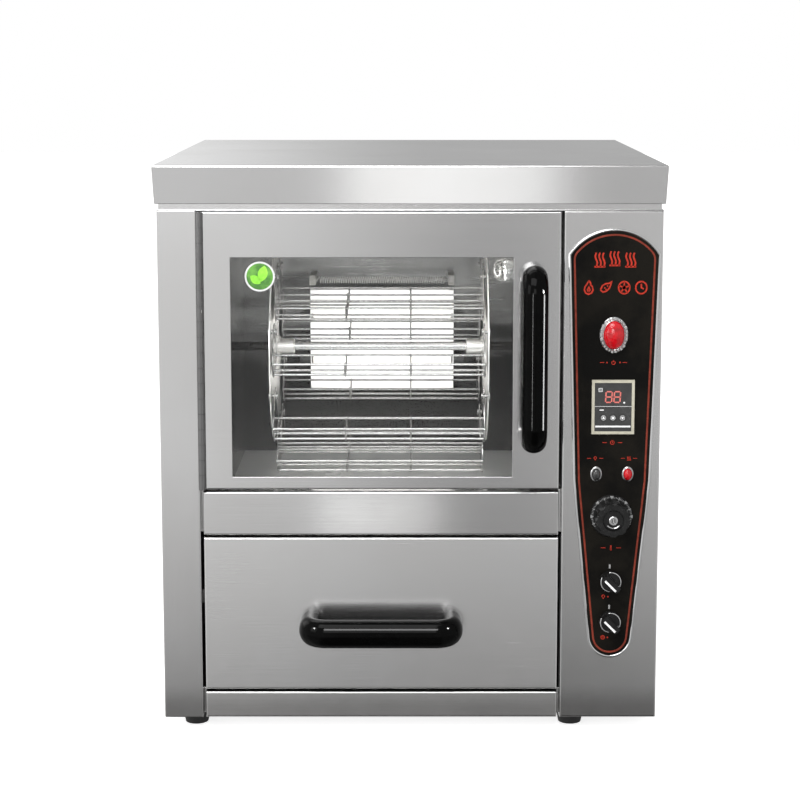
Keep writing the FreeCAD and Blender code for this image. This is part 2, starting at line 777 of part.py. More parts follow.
def make_back_panel():
    plain = box("back_sheet", ("left + skin", "right - skin"), ("back - skin", "back"),
                ("bottom", "top - skin"))
    through = ("back - 3 * skin", "back + overrun")
    holes = []
    for row in range(VENT_ROWS):
        low = "bottom + body_height * %s + vent_pitch * %d" % (BACK_VENT_SHARE, row)
        for side, middle in (("left", "-vent_column_offset"), ("right", "vent_column_offset")):
            holes.append(box("back_vent_%s_%d" % (side, row),
                             (middle + " - vent_length / 2", middle + " + vent_length / 2"),
                             through, (low, low + " + vent_width")))
    holes.append(rod("gland_hole", "y", through, ("gland_x", "gland_height"), "gland_dome_radius"))
    for name, x, z in screw_places():
        holes.append(rod(name + "_hole", "y", through, (x, z), "screw_radius"))
    sub_part("back_panel", cut("back_pierced", plain, *holes))

    screws = []
    for name, x, z in screw_places():
        head = cone(name + "_head", "y", ("back", "back + screw_head_thickness"), (x, z),
                    ("screw_head_radius", "screw_radius"))
        shank = rod(name + "_shank", "y", ("back - screw_length", "back"), (x, z), "screw_radius")
        screws.append(fuse(name, head, shank))
    sub_part("panel_screws", group("screw_set", screws))

    nut = rod("gland_nut", "y", ("back", "back + gland_nut_thickness"), ("gland_x", "gland_height"),
              "gland_nut_radius")
    neck = cone("gland_neck", "y", ("back + gland_nut_thickness", "back + rear_reach"),
                ("gland_x", "gland_height"),
                ("gland_dome_radius", "gland_bore_radius + skin"))
    shank = rod("gland_shank", "y", ("back - gland_shank_length", "back"), ("gland_x", "gland_height"),
                "gland_dome_radius")
    bore = rod("gland_bore", "y", ("back - gland_shank_length - overrun", "back + rear_reach + overrun"),
               ("gland_x", "gland_height"), "gland_bore_radius")
    sub_part("cable_gland", cut("gland_bored", fuse("gland_body", nut, neck, shank), bore))


def make_partitions():
    span_z = ("bottom + skin", "top - skin")
    back_end = "base_back"
    left_wall = box("left_partition", ("post_right - skin", "post_right"),
                    ("column_back", back_end), span_z)
    right_wall = box("right_partition", ("column_left", "partition_right"),
                     ("column_back", back_end), span_z)
    passage = rod("right_partition_hole", "x", ("column_left - overrun", "partition_right + overrun"),
                  ("wheel_y", "wheel_z"), "coupling_radius + wall_hole_play")
    sub_part("partition_walls",
             group("partition_pair", [left_wall, cut("right_partition_bored", right_wall, passage)]))


def make_feet():
    feet = []
    for side, x in (("left", "left + left_foot_inset"), ("right", "column_left + right_foot_inset")):
        for end, y in (("front", "front + foot_depth_inset"), ("back", "back - foot_depth_inset")):
            feet.append(cone("foot_%s_%s" % (side, end), "z", ("0", "foot_height"), (x, y),
                             ("foot_low_radius", "foot_top_radius")))
    sub_part("rubber_feet", group("foot_set", feet))


# Cavity and its lagging

def make_cavity():
    walls = []
    for name, inner, outer, flange in (("left", "cavity_left", "liner_left", "post_right"),
                                       ("right", "cavity_right", "liner_right", "column_left")):
        low_x, high_x = (outer, inner) if name == "left" else (inner, outer)
        sheet_wall = box(name + "_cavity_sheet", (low_x, high_x), ("cavity_front", "cavity_back"),
                         ("cavity_low", "cavity_high"))
        edge = (flange, inner) if name == "left" else (inner, flange)
        front_edge = box(name + "_cavity_flange", edge, ("cavity_front", "cavity_front + liner_skin"),
                         ("cavity_low", "cavity_high"))
        hole = rod(name + "_cavity_hole", "x", (low_x + " - overrun", high_x + " + overrun"),
                   ("wheel_y", "wheel_z"), "shaft_radius + wall_hole_play")
        cuts = [hole]
        if name == "right":
            cuts.append(box("catch_notch", ("catch_low_x - catch_play", "catch_high_x + catch_play"),
                            ("cavity_front - overrun", "cavity_front + overrun"),
                            ("catch_low_z - catch_play", "catch_high_z + catch_play")))
        walls.append(cut(name + "_cavity_wall", fuse(name + "_cavity_fold", sheet_wall, front_edge), *cuts))
    sub_part("cavity_side_walls", group("cavity_wall_pair", walls))

    span_x = ("post_right", "column_left")
    wrap_x = ("liner_left", "liner_right")
    sub_part("cavity_wrap", fuse(
        "cavity_folded",
        box("cavity_floor", wrap_x, ("cavity_front", "liner_back"), ("liner_low", "cavity_low")),
        box("cavity_ceiling", wrap_x, ("cavity_front", "liner_back"), ("cavity_high", "liner_high")),
        box("cavity_rear", wrap_x, ("cavity_back", "liner_back"), ("liner_low", "liner_high")),
        box("floor_flange", span_x, ("cavity_front", "cavity_front + liner_skin"),
            ("mid_low", "cavity_low")),
        box("ceiling_flange", span_x, ("cavity_front", "cavity_front + liner_skin"),
            ("cavity_high", "top - skin"))))

    behind = "cavity_front + liner_skin"
    deep = "liner_back + board_thickness"
    across = ("liner_left - board_thickness", "liner_right + board_thickness")
    boards = [
        box("floor_board", across, (behind, deep), ("liner_low - board_thickness", "liner_low")),
        box("ceiling_board", across, (behind, deep), ("liner_high", "liner_high + board_thickness")),
        box("rear_board", across, ("liner_back", deep), ("liner_low", "liner_high"))]
    for name, span in (("left", (across[0], "liner_left")), ("right", ("liner_right", across[1]))):
        slab = box(name + "_board_slab", span, (behind, "liner_back"), ("liner_low", "liner_high"))
        hole = rod(name + "_board_hole", "x", (span[0] + " - overrun", span[1] + " + overrun"),
                   ("wheel_y", "wheel_z"), "bearing_radius + wall_hole_play")
        cuts = [hole]
        if name == "right":
            cuts.append(box("catch_pocket", ("catch_low_x - catch_play", "catch_high_x + catch_play"),
                            ("cavity_front", "catch_back + catch_play"),
                            ("catch_low_z - catch_play", "catch_high_z + catch_play")))
        boards.append(cut(name + "_board", slab, *cuts))
    sub_part("insulation_boards", group("board_set", boards))


def make_catch():
    """The magnet that holds the door shut, let into the front flange."""
    sub_part("magnet_catch",
             box("magnet_catch_block", ("catch_low_x", "catch_high_x"), ("catch_front", "catch_back"),
                                 ("catch_low_z", "catch_high_z")))


# Wheel, baskets and drive

def make_wheel():
    discs = []
    for name, outer in (("left", "wheel_left - disc_thickness"), ("right", "wheel_right")):
        body = doc.addObject("PartDesign::Body", name + "_disc")
        bind(body, "Placement.Base.x", outer)
        bind(body, "Placement.Base.y", "wheel_y")
        bind(body, "Placement.Base.z", "wheel_z")
        face = new_sketch(body, name + "_disc_face", "YZ_Plane")
        draw_circle(face, "0", "0", "disc_radius")
        draw_circle(face, "0", "0", "shaft_radius")
        for number in range(BASKETS):
            draw_circle(face, *around("pivot_radius", number * BASKET_STEP), "basket_pin_radius")
        plate = body.newObject("PartDesign::Pad", name + "_disc_plate")
        plate.Profile = face
        bind(plate, "Length", "disc_thickness")
        doc.recompute()
        hole = new_sketch(body, name + "_disc_hole", "YZ_Plane", "disc_thickness + overrun")
        draw_circle(hole, "disc_hole_pitch_radius", "0", "disc_hole_radius")
        pocket = body.newObject("PartDesign::Pocket", name + "_disc_opening")
        pocket.Profile = hole
        bind(pocket, "Length", "disc_thickness + 2 * overrun")
        pattern = body.newObject("PartDesign::PolarPattern", name + "_disc_openings")
        pattern.Originals = [pocket]
        pattern.Axis = (hole, ["N_Axis"])
        pattern.Angle = 360
        pattern.Occurrences = DISC_HOLES
        body.Tip = pattern
        discs += [body, make_hub(name)]
    sub_part("wheel_discs", group("wheel_disc_pair", discs))
    sub_part("wheel_shaft",
             rod("wheel_shaft_bar", "x", ("shaft_left", "shaft_right"), ("wheel_y", "wheel_z"),
                                "shaft_radius"))
    make_basket_pins()
    make_bearings()
    for number in range(BASKETS):
        make_basket(number)


def make_hub(name):
    """A collar welded to the inner face of a disc."""
    span = {"left": ("wheel_left", "wheel_left + hub_length"),
            "right": ("wheel_right - hub_length", "wheel_right")}[name]
    outer = rod(name + "_hub_collar", "x", span, ("wheel_y", "wheel_z"), "hub_radius")
    bore = rod(name + "_hub_bore", "x", (span[0] + " - overrun", span[1] + " + overrun"),
               ("wheel_y", "wheel_z"),
               "shaft_radius")
    return cut(name + "_hub", outer, bore)


def around(radius, degrees):
    """Depth and height from the wheel's centre, counted from the front and upwards."""
    turn = "(first_basket_degrees + %s)" % degrees
    return ("-%s * cos(%s)" % (radius, turn), "%s * sin(%s)" % (radius, turn))


def make_basket_pins():
    pins = []
    ends = (("left", "wheel_left - disc_thickness", 1), ("right", "wheel_right + disc_thickness", -1))
    for number in range(BASKETS):
        y, z = around("pivot_radius", number * BASKET_STEP)
        across = ("wheel_y + (%s)" % y, "wheel_z + (%s)" % z)
        for side, outer, way in ends:
            name = "basket_pin_%s_%d" % (side, number)
            tip = "disc_thickness + basket_side_gap + basket_plate + pin_clip_gap + pin_head_thickness"
            spans = {
                "head": ("-pin_head_thickness", "0", "pin_head_radius"),
                "shank": ("0", tip, "basket_pin_radius"),
                "clip": (tip + " - pin_head_thickness", tip, "pin_clip_radius")}
            solids = []
            for part, (near, far, radius) in spans.items():
                low, high = (near, far) if way > 0 else ("-(%s)" % far, "-(%s)" % near)
                span = ("%s + (%s)" % (outer, low), "%s + (%s)" % (outer, high))
                solids.append(rod("%s_%s" % (name, part), "x", span, across, radius))
            pins.append(fuse(name, *solids))
    sub_part("basket_pins", group("basket_pin_set", pins))


def make_bearings():
    bearings = []
    for name, span in (("left", ("bearing_left", "liner_left")),
                       ("right", ("liner_right", "bearing_right"))):
        outer = rod(name + "_bearing_flange", "x", span, ("wheel_y", "wheel_z"), "bearing_radius")
        bore = rod(name + "_bearing_bore", "x", (span[0] + " - overrun", span[1] + " + overrun"),
                   ("wheel_y", "wheel_z"), "shaft_radius + shaft_play")
        bearings.append(cut(name + "_bearing", outer, bore))
    sub_part("shaft_bearings", group("bearing_pair", bearings))


BASKET_POINTS = {
    "rim": ("(rim_half_width - rod_inset)", "-rim_drop"),
    "floor": ("(floor_half_width - rod_inset)", "-(hang_depth - rod_inset)"),
}


def make_basket(number):
    """One hanging basket: two end plates, four long rods and two bent rests of wire."""
    name = "basket_%d" % (number + 1)
    y, z = around("pivot_radius", number * BASKET_STEP)
    centre_y = "(wheel_y + (%s))" % y
    centre_z = "(wheel_z + (%s))" % z
    solids = []
    for side, low in (("left", "basket_left"), ("right", "basket_right - basket_plate")):
        body = doc.addObject("PartDesign::Body", "%s_%s_end" % (name, side))
        bind(body, "Placement.Base.x", low)
        bind(body, "Placement.Base.y", centre_y)
        bind(body, "Placement.Base.z", centre_z)
        face = new_sketch(body, "%s_%s_face" % (name, side), "YZ_Plane")
        draw_outline(face, [("-floor_half_width", "-hang_depth"), ("floor_half_width", "-hang_depth"),
                            ("rim_half_width", "-rim_drop"), ("ear_half_width", "ear_rise"),
                            ("-ear_half_width", "ear_rise"), ("-rim_half_width", "-rim_drop")])
        draw_circle(face, "0", "0", "basket_pin_radius + basket_pin_play")
        plate = body.newObject("PartDesign::Pad", "%s_%s_plate" % (name, side))
        plate.Profile = face
        bind(plate, "Length", "basket_plate")
        solids.append(body)
    span = ("basket_left + basket_plate", "basket_right - basket_plate")
    for point, (reach, drop) in BASKET_POINTS.items():
        for end, sign in (("front", "-"), ("back", "+")):
            across = ("%s %s %s" % (centre_y, sign, reach), "%s + (%s)" % (centre_z, drop))
            solids.append(rod("%s_%s_%s_rod" % (name, point, end), "x", span, across, "rod_radius"))
    for rest, share in enumerate(CROSS_WIRE_SHARES):
        x = "basket_left + (basket_right - basket_left) * %s" % share
        solids.extend(cross_wires("%s_rest_%d" % (name, rest), x, centre_y, centre_z))
    sub_part(name, group(name + "_set", solids))


def cross_wires(name, x, centre_y, centre_z):
    """Three straight wires from rim to floor to floor to rim, welded to the rods."""
    reach_rim, drop_rim = BASKET_POINTS["rim"]
    reach_floor, drop_floor = BASKET_POINTS["floor"]
    floor_wire = rod(name + "_floor", "y",
                     ("%s - %s + rod_radius" % (centre_y, reach_floor),
                      "%s + %s - rod_radius" % (centre_y, reach_floor)),
                     (x, "%s + (%s)" % (centre_z, drop_floor)), "cross_wire_radius")
    run = "(%s - %s)" % (reach_rim, reach_floor)
    rise = "(%s - (%s))" % (drop_rim, drop_floor)
    length = "sqrt(%s ^ 2 + %s ^ 2)" % (run, rise)
    wires = [floor_wire]
    for end, sign, side in (("front", -1, "-"), ("back", 1, "+")):
        wire = doc.addObject("Part::Cylinder", "%s_%s" % (name, end))
        lean(wire, Vector(-sign, 0, 0), "atan(%s / %s)" % (run, rise))
        bind(wire, "Radius", "cross_wire_radius")
        bind(wire, "Height", "%s - 2 * rod_radius" % length)
        bind(wire, "Placement.Base.x", x)
        bind(wire, "Placement.Base.y",
             "%s %s (%s + %s * rod_radius / %s)" % (centre_y, side, reach_floor, run, length))
        bind(wire, "Placement.Base.z",
             "%s + (%s) + %s * rod_radius / %s" % (centre_z, drop_floor, rise, length))
        wires.append(wire)
    return wires


def make_drive():
    at_axis = ("wheel_y", "wheel_z")
    sleeve = rod("coupling_sleeve", "x", ("coupling_left", "coupling_right"), at_axis, "coupling_radius")
    seat = rod("coupling_seat", "x", ("coupling_left - overrun", "shaft_right"), at_axis, "shaft_radius")
    stub = rod("coupling_stub", "x", ("shaft_right", "partition_right + stub_bore_depth - stub_end_gap"),
               at_axis,
               "stub_radius")
    sub_part("shaft_coupling", fuse("coupling_with_stub", cut("coupling_bored", sleeve, seat), stub))

    half = "gearbox_side / 2"
    gearbox = box("gearbox_block", ("partition_right", "gearbox_right"),
                  ("wheel_y - " + half, "wheel_y + " + half), ("wheel_z - " + half, "wheel_z + " + half))
    can = rod("motor_can", "x", ("gearbox_right", "motor_right"), at_axis, "motor_radius")
    bore = rod("gearbox_bore", "x", ("partition_right - overrun", "partition_right + stub_bore_depth"),
               at_axis,
               "stub_radius + shaft_play")
    sub_part("gearmotor", cut("gearmotor_bored", fuse("gearmotor_block", gearbox, can), bore))


# Heaters

def make_heaters():
    tray = box("reflector_block", ("reflector_left", "reflector_right"), ("reflector_y", "reflector_back"),
               ("reflector_low", "reflector_high"))
    hollow = box("reflector_hollow",
                 ("reflector_left + reflector_skin", "reflector_right - reflector_skin"),
                 ("reflector_y - overrun", "reflector_back - reflector_skin"),
                 ("reflector_low + reflector_skin", "reflector_high - reflector_skin"))
    cuts = [hollow]
    tube_y = "(reflector_y + reflector_depth / 2)"
    heaters = []
    for name, sign in (("lower", "-"), ("upper", "+")):
        at = (tube_y, "reflector_z %s tube_spacing / 2" % sign)
        cuts.append(rod(name + "_tube_hole", "x",
                        ("reflector_left - overrun", "reflector_right + overrun"), at,
                        "tube_radius + tube_hole_play"))
        solids = [rod(name + "_tube", "x", ("reflector_left", "reflector_right"), at, "tube_radius"),
                  rod(name + "_cap_left", "x", ("reflector_left - tube_cap_length", "reflector_left"), at,
                      "tube_cap_radius"),
                  rod(name + "_cap_right", "x", ("reflector_right", "reflector_right + tube_cap_length"),
                      at,
                      "tube_cap_radius")]
        heaters.append(fuse(name + "_heater", *solids))
    sub_part("quartz_heaters", group("quartz_heater_pair", heaters))

    legs = []
    for side, x in (("left", "reflector_left + leg_width"), ("right", "reflector_right - 2 * leg_width")):
        legs.append(box("reflector_leg_" + side, (x, x + " + leg_width"),
                        ("reflector_back - reflector_skin", "cavity_back"),
                        ("reflector_z - leg_height / 2", "reflector_z + leg_height / 2")))
    sub_part("heater_reflector", fuse("reflector_welded", cut("reflector_tray", tray, *cuts), *legs))

    holders = []
    for name, span in (("left", ("coil_left - holder_width", "coil_left")),
                       ("right", ("coil_right", "coil_right + holder_width"))):
        holders.append(box("coil_holder_" + name, span, ("coil_y - holder_height / 2", "cavity_back"),
                           ("coil_z - holder_height / 2", "coil_z + holder_height / 2")))
    sub_part("coil_holders", group("coil_holder_pair", holders))
    sub_part("coil_heater", computed("coil_wire", coil_shape()))


def biarc(start, start_way, end, end_way):
    """Two arcs that leave one point along its direction and reach the other along its own."""
    gap = end - start
    both = start_way + end_way
    square = both.Length ** 2
    b = 2 * gap.dot(both)
    root = math.sqrt(b * b + 4 * (4 - square) * gap.dot(gap))
    reach = (root - b) / (2 * (4 - square))
    first = start + start_way * reach
    last = end - end_way * reach
    middle = (first + last) * HALF
    edges = []
    for a, corner, c in ((start, first, middle), (middle, last, end)):
        to_middle = (a + c) * HALF - corner
        half_angle = to_middle.getAngle(a - corner)
        radius = reach * math.tan(half_angle)
        centre = corner + to_middle.normalize() * (radius / math.sin(half_angle))
        inner = centre + (corner - centre).normalize() * radius
        edges.append(Part.Arc(a, inner, c).toShape())
    return edges


def coil_shape():
    """The open heater coil: one wire, straight into each holder, wound in between."""
    radius = size("coil_radius")
    lead = size("coil_lead")
    wire = size("coil_wire_radius")
    start_x = size("coil_left") + lead
    run = size("coil_right") - size("coil_left") - 2 * lead
    turns = math.floor(run / size("coil_pitch"))
    pitch = run / turns
    centre_y = size("coil_y")
    centre_z = size("coil_z")
    climb = pitch / (2 * math.pi)

    def point(turn):
        angle = 2 * math.pi * turn
        return Vector(start_x + pitch * turn, centre_y + radius * math.sin(angle),
                      centre_z + radius * math.cos(angle))

    def way(turn):
        angle = 2 * math.pi * turn
        return Vector(climb, radius * math.cos(angle), -radius * math.sin(angle)).normalize()

    along = Vector(1, 0, 0)
    begin = Vector(size("coil_left"), centre_y - radius, centre_z)
    finish = Vector(size("coil_right"), centre_y + radius, centre_z)
    tail = 2 * wire
    edges = [Part.LineSegment(begin, begin + along * tail).toShape()]
    edges += biarc(begin + along * tail, along, point(0), way(0))
    for step in range(2 * turns):
        edges += biarc(point(step / 2), way(step / 2), point((step + 1) / 2), way((step + 1) / 2))
    edges += biarc(point(turns), way(turns), finish - along * tail, along)
    edges.append(Part.LineSegment(finish - along * tail, finish).toShape())
    path = Part.Wire(edges)
    profile = Part.Wire([Part.Circle(begin, along, wire).toShape()])
    print("coil: %d turns, wire %.2f mm, least gap %.2f mm" % (turns, 2 * wire,
                                                               coil_gap(path, pitch, wire)))
    return path.makePipeShell([profile], True, False)


def coil_gap(path, pitch, wire):
    """The least space between one turn and the next, measured on points of the path."""
    spacing = pitch * SAMPLE_SHARE
    points = path.discretize(Distance=spacing)
    skip = math.ceil(2 * math.pi * size("coil_radius") * HALF / spacing)
    least = min((points[i] - points[j]).Length
                for i in range(len(points))
                for j in range(i + skip, min(i + 4 * skip, len(points))))
    return least - 2 * wire


def make_oven_lamp():
    at = ("lamp_y", "lamp_z")
    base = rod("lamp_base", "x", ("cavity_right - lamp_base_length", "cavity_right"), at,
               "lamp_base_radius")
    glass_end = "cavity_right - lamp_base_length - lamp_glass_length"
    stem = rod("lamp_glass", "x", (glass_end, "cavity_right - lamp_base_length"), at, "lamp_glass_radius")
    tip = doc.addObject("Part::Sphere", "lamp_tip")
    bind(tip, "Radius", "lamp_glass_radius")
    for axis, text in zip("xyz", (glass_end,) + at):
        bind(tip, "Placement.Base." + axis, text)
    sub_part("oven_lamp", fuse("oven_lamp_body", base, stem, tip))


# Door

def make_door():
    outline = ("door_left", "door_right", "door_low", "door_high")
    window = ("window_left", "window_right", "window_low", "window_high")
    pan("door_shell", outline, "door_depth", "skin", windows=[window])

    def grown(margin):
        return [("%s - (%s)" % (window[0], margin), "%s + (%s)" % (window[1], margin)),
                ("%s - (%s)" % (window[2], margin), "%s + (%s)" % (window[3], margin))]

    lap_x, lap_z = grown("gasket_lap")
    hole_x, hole_z = grown("0")
    seal = box("gasket_sheet", lap_x, ("front + skin", "gasket_back"), lap_z)
    seal_hole = box("gasket_hole", hole_x, ("front", "gasket_back + overrun"), hole_z)
    sub_part("glass_gasket", cut("gasket_frame", seal, seal_hole))

    glass_x, glass_z = grown("glass_lap")
    sub_part("window_glass", box("glass_sheet", glass_x, ("gasket_back", "glass_back"), glass_z))

    inner_x, inner_z = grown("glass_lap - skin - door_play")
    outer_x, outer_z = grown("glass_lap - door_play")
    sheet_x = ("door_left + skin + door_play", "door_right - skin - door_play")
    sheet_z = ("door_low + skin + door_play", "door_high - skin - door_play")
    back_sheet = box("door_back_sheet", sheet_x, ("door_back - skin", "door_back"), sheet_z)
    collar = box("door_collar", outer_x, ("glass_back", "door_back"), outer_z)
    opening = box("door_collar_hole", inner_x, ("glass_back - overrun", "door_back + overrun"), inner_z)
    sub_part("door_inner_pan",
             cut("door_inner_folded", fuse("door_inner_block", back_sheet, collar), opening))


def make_hinge():
    """A piano hinge: two leaves whose knuckles alternate along one pin."""
    at = ("hinge_x", "hinge_y")
    pitch = "(door_high - door_low) / %d" % KNUCKLES
    sub_part("hinge_pin", rod("hinge_wire", "z", ("door_low", "door_high"), at, "hinge_pin_radius"))
    leaves = (("hinge_leaf_fixed", 0, ("post_right", "post_right + leaf_thickness"), "hinge_pin_radius"),
              ("hinge_leaf_door", 1, ("door_left - leaf_thickness", "door_left"),
               "hinge_pin_radius + hinge_play"))
    for label, first, span_x, bore_radius in leaves:
        solids = [box(label + "_plate", span_x, ("front", "front + leaf_depth"), ("door_low", "door_high"))]
        for number in range(first, KNUCKLES, 2):
            name = "%s_knuckle_%d" % (label, number)
            span_z = ("door_low + %s * %d + knuckle_gap / 2" % (pitch, number),
                      "door_low + %s * %d - knuckle_gap / 2" % (pitch, number + 1))
            barrel = rod(name + "_barrel", "z", span_z, at, "barrel_radius")
            web = box(name + "_web", span_x, ("hinge_y", "front + knuckle_gap"), span_z)
            solids += [barrel, web]
        bore = rod(label + "_bore", "z", ("door_low - overrun", "door_high + overrun"), at, bore_radius)
        sub_part(label, cut(label + "_bored", fuse(label + "_block", *solids), bore))


def handle_shape(foot, along, length, width):
    """A bow handle: two legs and a grip of one oval section, bent in two wide arcs."""
    depth = size("grip_depth")
    bend = size("grip_bend")
    out = Vector(0, -1, 0)
    reach = size("finger_gap") + depth * HALF
    span = length - depth
    feet = [foot, foot + along * span]
    knees = [point + out * (reach - bend) for point in feet]
    shoulders = [feet[0] + out * reach + along * bend, feet[1] + out * reach - along * bend]
    cut_corner = bend * (1 - math.sqrt(HALF))
    middles = [feet[0] + out * (reach - cut_corner) + along * cut_corner,
               feet[1] + out * (reach - cut_corner) - along * cut_corner]
    path = Part.Wire([
        Part.LineSegment(feet[0], knees[0]).toShape(),
        Part.Arc(knees[0], middles[0], shoulders[0]).toShape(),
        Part.LineSegment(shoulders[0], shoulders[1]).toShape(),
        Part.Arc(shoulders[1], middles[1], knees[1]).toShape(),
        Part.LineSegment(knees[1], feet[1]).toShape()])
    across = out.cross(along)
    if width > depth:
        oval = Part.Ellipse(foot + across * (width * HALF), foot + along * (depth * HALF), foot)
    else:
        oval = Part.Ellipse(foot + along * (depth * HALF), foot + across * (width * HALF), foot)
    return path.makePipeShell([Part.Wire([oval.toShape()])], True, False)


def make_handles():
    start = Vector(size("door_handle_x"), size("front"),
                   size("door_handle_low") + size("grip_depth") * HALF)
    sub_part("door_handle", computed("door_handle_bow", handle_shape(
        start, Vector(0, 0, 1), size("door_handle_length"), size("door_grip_width"))))
    middle = (size("rail_left") + size("rail_right")) * HALF
    reach = (size("drawer_handle_length") - size("grip_depth")) * HALF
    start = Vector(middle - reach, size("front"), size("drawer_handle_z"))
    sub_part("drawer_handle", computed("drawer_handle_bow", handle_shape(
        start, Vector(1, 0, 0), size("drawer_handle_length"), size("drawer_grip_width"))))


# Drawer

def make_drawer():
    pan("drawer_front", ("rail_left", "rail_right", "drawer_low", "drawer_high"), "rail_depth", "skin")
    shell = box("tray_block", ("tray_left", "tray_right"), ("rail_back", "tray_back"),
                ("tray_low", "tray_high"))
    hollow = box("tray_hollow", ("tray_left + skin", "tray_right - skin"),
                 ("rail_back + skin", "tray_back - skin"),
                 ("tray_low + skin", "tray_high + overrun"))
    solids = [cut("tray_box", shell, hollow)]
    bar_z = ("runner_low + runner_skin + slide_play", "runner_high - runner_skin - slide_play")
    bars = {"left": ("post_right + runner_skin + slide_play", "tray_left"),
            "right": ("tray_right", "column_left - runner_skin - slide_play")}
    for side, span in bars.items():
        solids.append(box("tray_bar_" + side, span, ("front + return_depth", "tray_back"), bar_z))
    sub_part("drawer_tray", group("drawer_tray_set", solids))

    edges = {"left": ("post_right", "post_right + runner_skin", "post_right + runner_width"),
             "right": ("column_left", "column_left - runner_skin", "column_left - runner_width")}
    sub_part("drawer_runners", group("runner_pair", [make_runner(side, *edges[side]) for side in edges]))


def make_runner(side, wall, web, lip):
    """A channel on the wall, open towards the drawer."""
    step = 1 if side == "left" else -1
    span_y = ("column_back", "tray_back")
    narrow = (wall, web)[::step]
    wide = (wall, lip)[::step]
    return fuse(
        "runner_" + side,
        box("runner_web_" + side, narrow, span_y, ("runner_low", "runner_high")),
        box("runner_floor_" + side, wide, span_y, ("runner_low", "runner_low + runner_skin")),
        box("runner_roof_" + side, wide, span_y, ("runner_high - runner_skin", "runner_high")))


# Control plate and what sits on it

def plate_outline():
    """The long plate: an arched head, straight flanks, a taper and a round foot."""
    x = size("control_x")
    low = size("plate_low")
    high = size("plate_high")
    foot = size("plate_foot_radius")
    knee = size("plate_knee_half_width")
    knee_z = low + size("plate_knee_rise")
    wide = size("plate_half_width")
    shoulder_z = high - size("plate_shoulder_drop")
    foot_z = low + foot
    lean = math.atan2(knee - foot, knee_z - foot_z)
    touch = Vector(foot * math.cos(lean), 0, -foot * math.sin(lean))
    y = size("front")
    centre = Vector(x, y, foot_z)

    def at(side, across, z):
        return Vector(x + side * across, y, z)

    points = {side: (centre + Vector(side * touch.x, 0, touch.z), at(side, knee, knee_z),
                     at(side, wide, shoulder_z))
              for side in (1, -1)}
    edges = [Part.LineSegment(points[1][0], points[1][1]), Part.LineSegment(points[1][1], points[1][2]),
             Part.Arc(points[1][2], Vector(x, y, high), points[-1][2]),
             Part.LineSegment(points[-1][2], points[-1][1]), Part.LineSegment(points[-1][1], points[-1][0]),
             Part.Arc(points[-1][0], Vector(x, y, low), points[1][0])]
    return Part.Face(Part.Wire([edge.toShape() for edge in edges]))


PANEL_HOLES = (
    ("main_lamp", "control_x", "main_lamp_z", "lamp_shank_radius"),
    ("left_lamp", "control_x - small_lamp_spacing / 2", "small_lamp_z", "small_shank_radius"),
    ("right_lamp", "control_x + small_lamp_spacing / 2", "small_lamp_z", "small_shank_radius"),
    ("thermostat", "control_x", "dial_z", "spindle_radius + spindle_play"),
    ("upper_switch", "control_x", "upper_switch_z", "switch_neck_radius"),
    ("lower_switch", "control_x", "lower_switch_z", "switch_neck_radius"),
)
TIMER_HOLE = ("control_x - timer_width / 2 + timer_body_inset",
              "control_x + timer_width / 2 - timer_body_inset",
              "timer_z - timer_tall / 2 + timer_body_inset", "timer_z + timer_tall / 2 - timer_body_inset")


def make_column():
    circles = [(x, z, radius) for name, x, z, radius in PANEL_HOLES]
    pan("control_column", ("column_left", "right", "bottom", "top - skin"), "return_depth", "skin",
        windows=[TIMER_HOLE], circles=circles)

    shape = plate_outline().extrude(Vector(0, -size("plate_thickness"), 0))
    plate = computed("control_plate", shape)
    through = ("plate_front - overrun", "front + overrun")
    holes = [rod(name + "_plate_hole", "y", through, (x, z), radius) for name, x, z, radius in PANEL_HOLES]
    holes.append(box("timer_plate_hole", TIMER_HOLE[:2], through, TIMER_HOLE[2:]))
    sub_part("control_overlay", cut("control_plate_pierced", plate, *holes))


def make_lamps():
    bezels = []
    lenses = []
    rows = (("main_lamp", "main_bezel_width", "main_bezel_height", "bezel_reach", "main_lens_width",
             "main_lens_height", "main_lens_reach"),
            ("left_lamp", "small_bezel_width", "small_bezel_height", "small_bezel_reach",
             "small_lens_width",
             "small_lens_height", "small_lens_reach"),
            ("right_lamp", "small_bezel_width", "small_bezel_height", "small_bezel_reach",
             "small_lens_width",
             "small_lens_height", "small_lens_reach"))
    holes = {name: (x, z, radius) for name, x, z, radius in PANEL_HOLES}
    for name, wide, tall, reach, lens_wide, lens_tall, lens_reach in rows:
        x, z, shank_radius = holes[name]
        centre = (x, "plate_front", z)
        lens = dome(name + "_lens", centre, (lens_wide + " / 2", lens_reach, lens_tall + " / 2"))
        bezel = dome(name + "_bezel", centre, (wide + " / 2", reach, tall + " / 2"))
        seat = dome(name + "_seat", (x, "plate_front + lens_play", z),
                    (lens_wide + " / 2 + lens_play", lens_reach + " + lens_play",
                     lens_tall + " / 2 + lens_play"))
        shank = rod(name + "_shank", "y", ("plate_front", "plate_front + lamp_shank_length"), (x, z),
                    shank_radius)
        bezels.append(cut(name + "_bezel_ring", bezel, seat))
        lenses.append(fuse(name + "_body", lens, shank))
    sub_part("lamp_bezels", group("lamp_bezel_set", bezels))
    sub_part("lamp_lenses", group("lamp_lens_set", lenses))


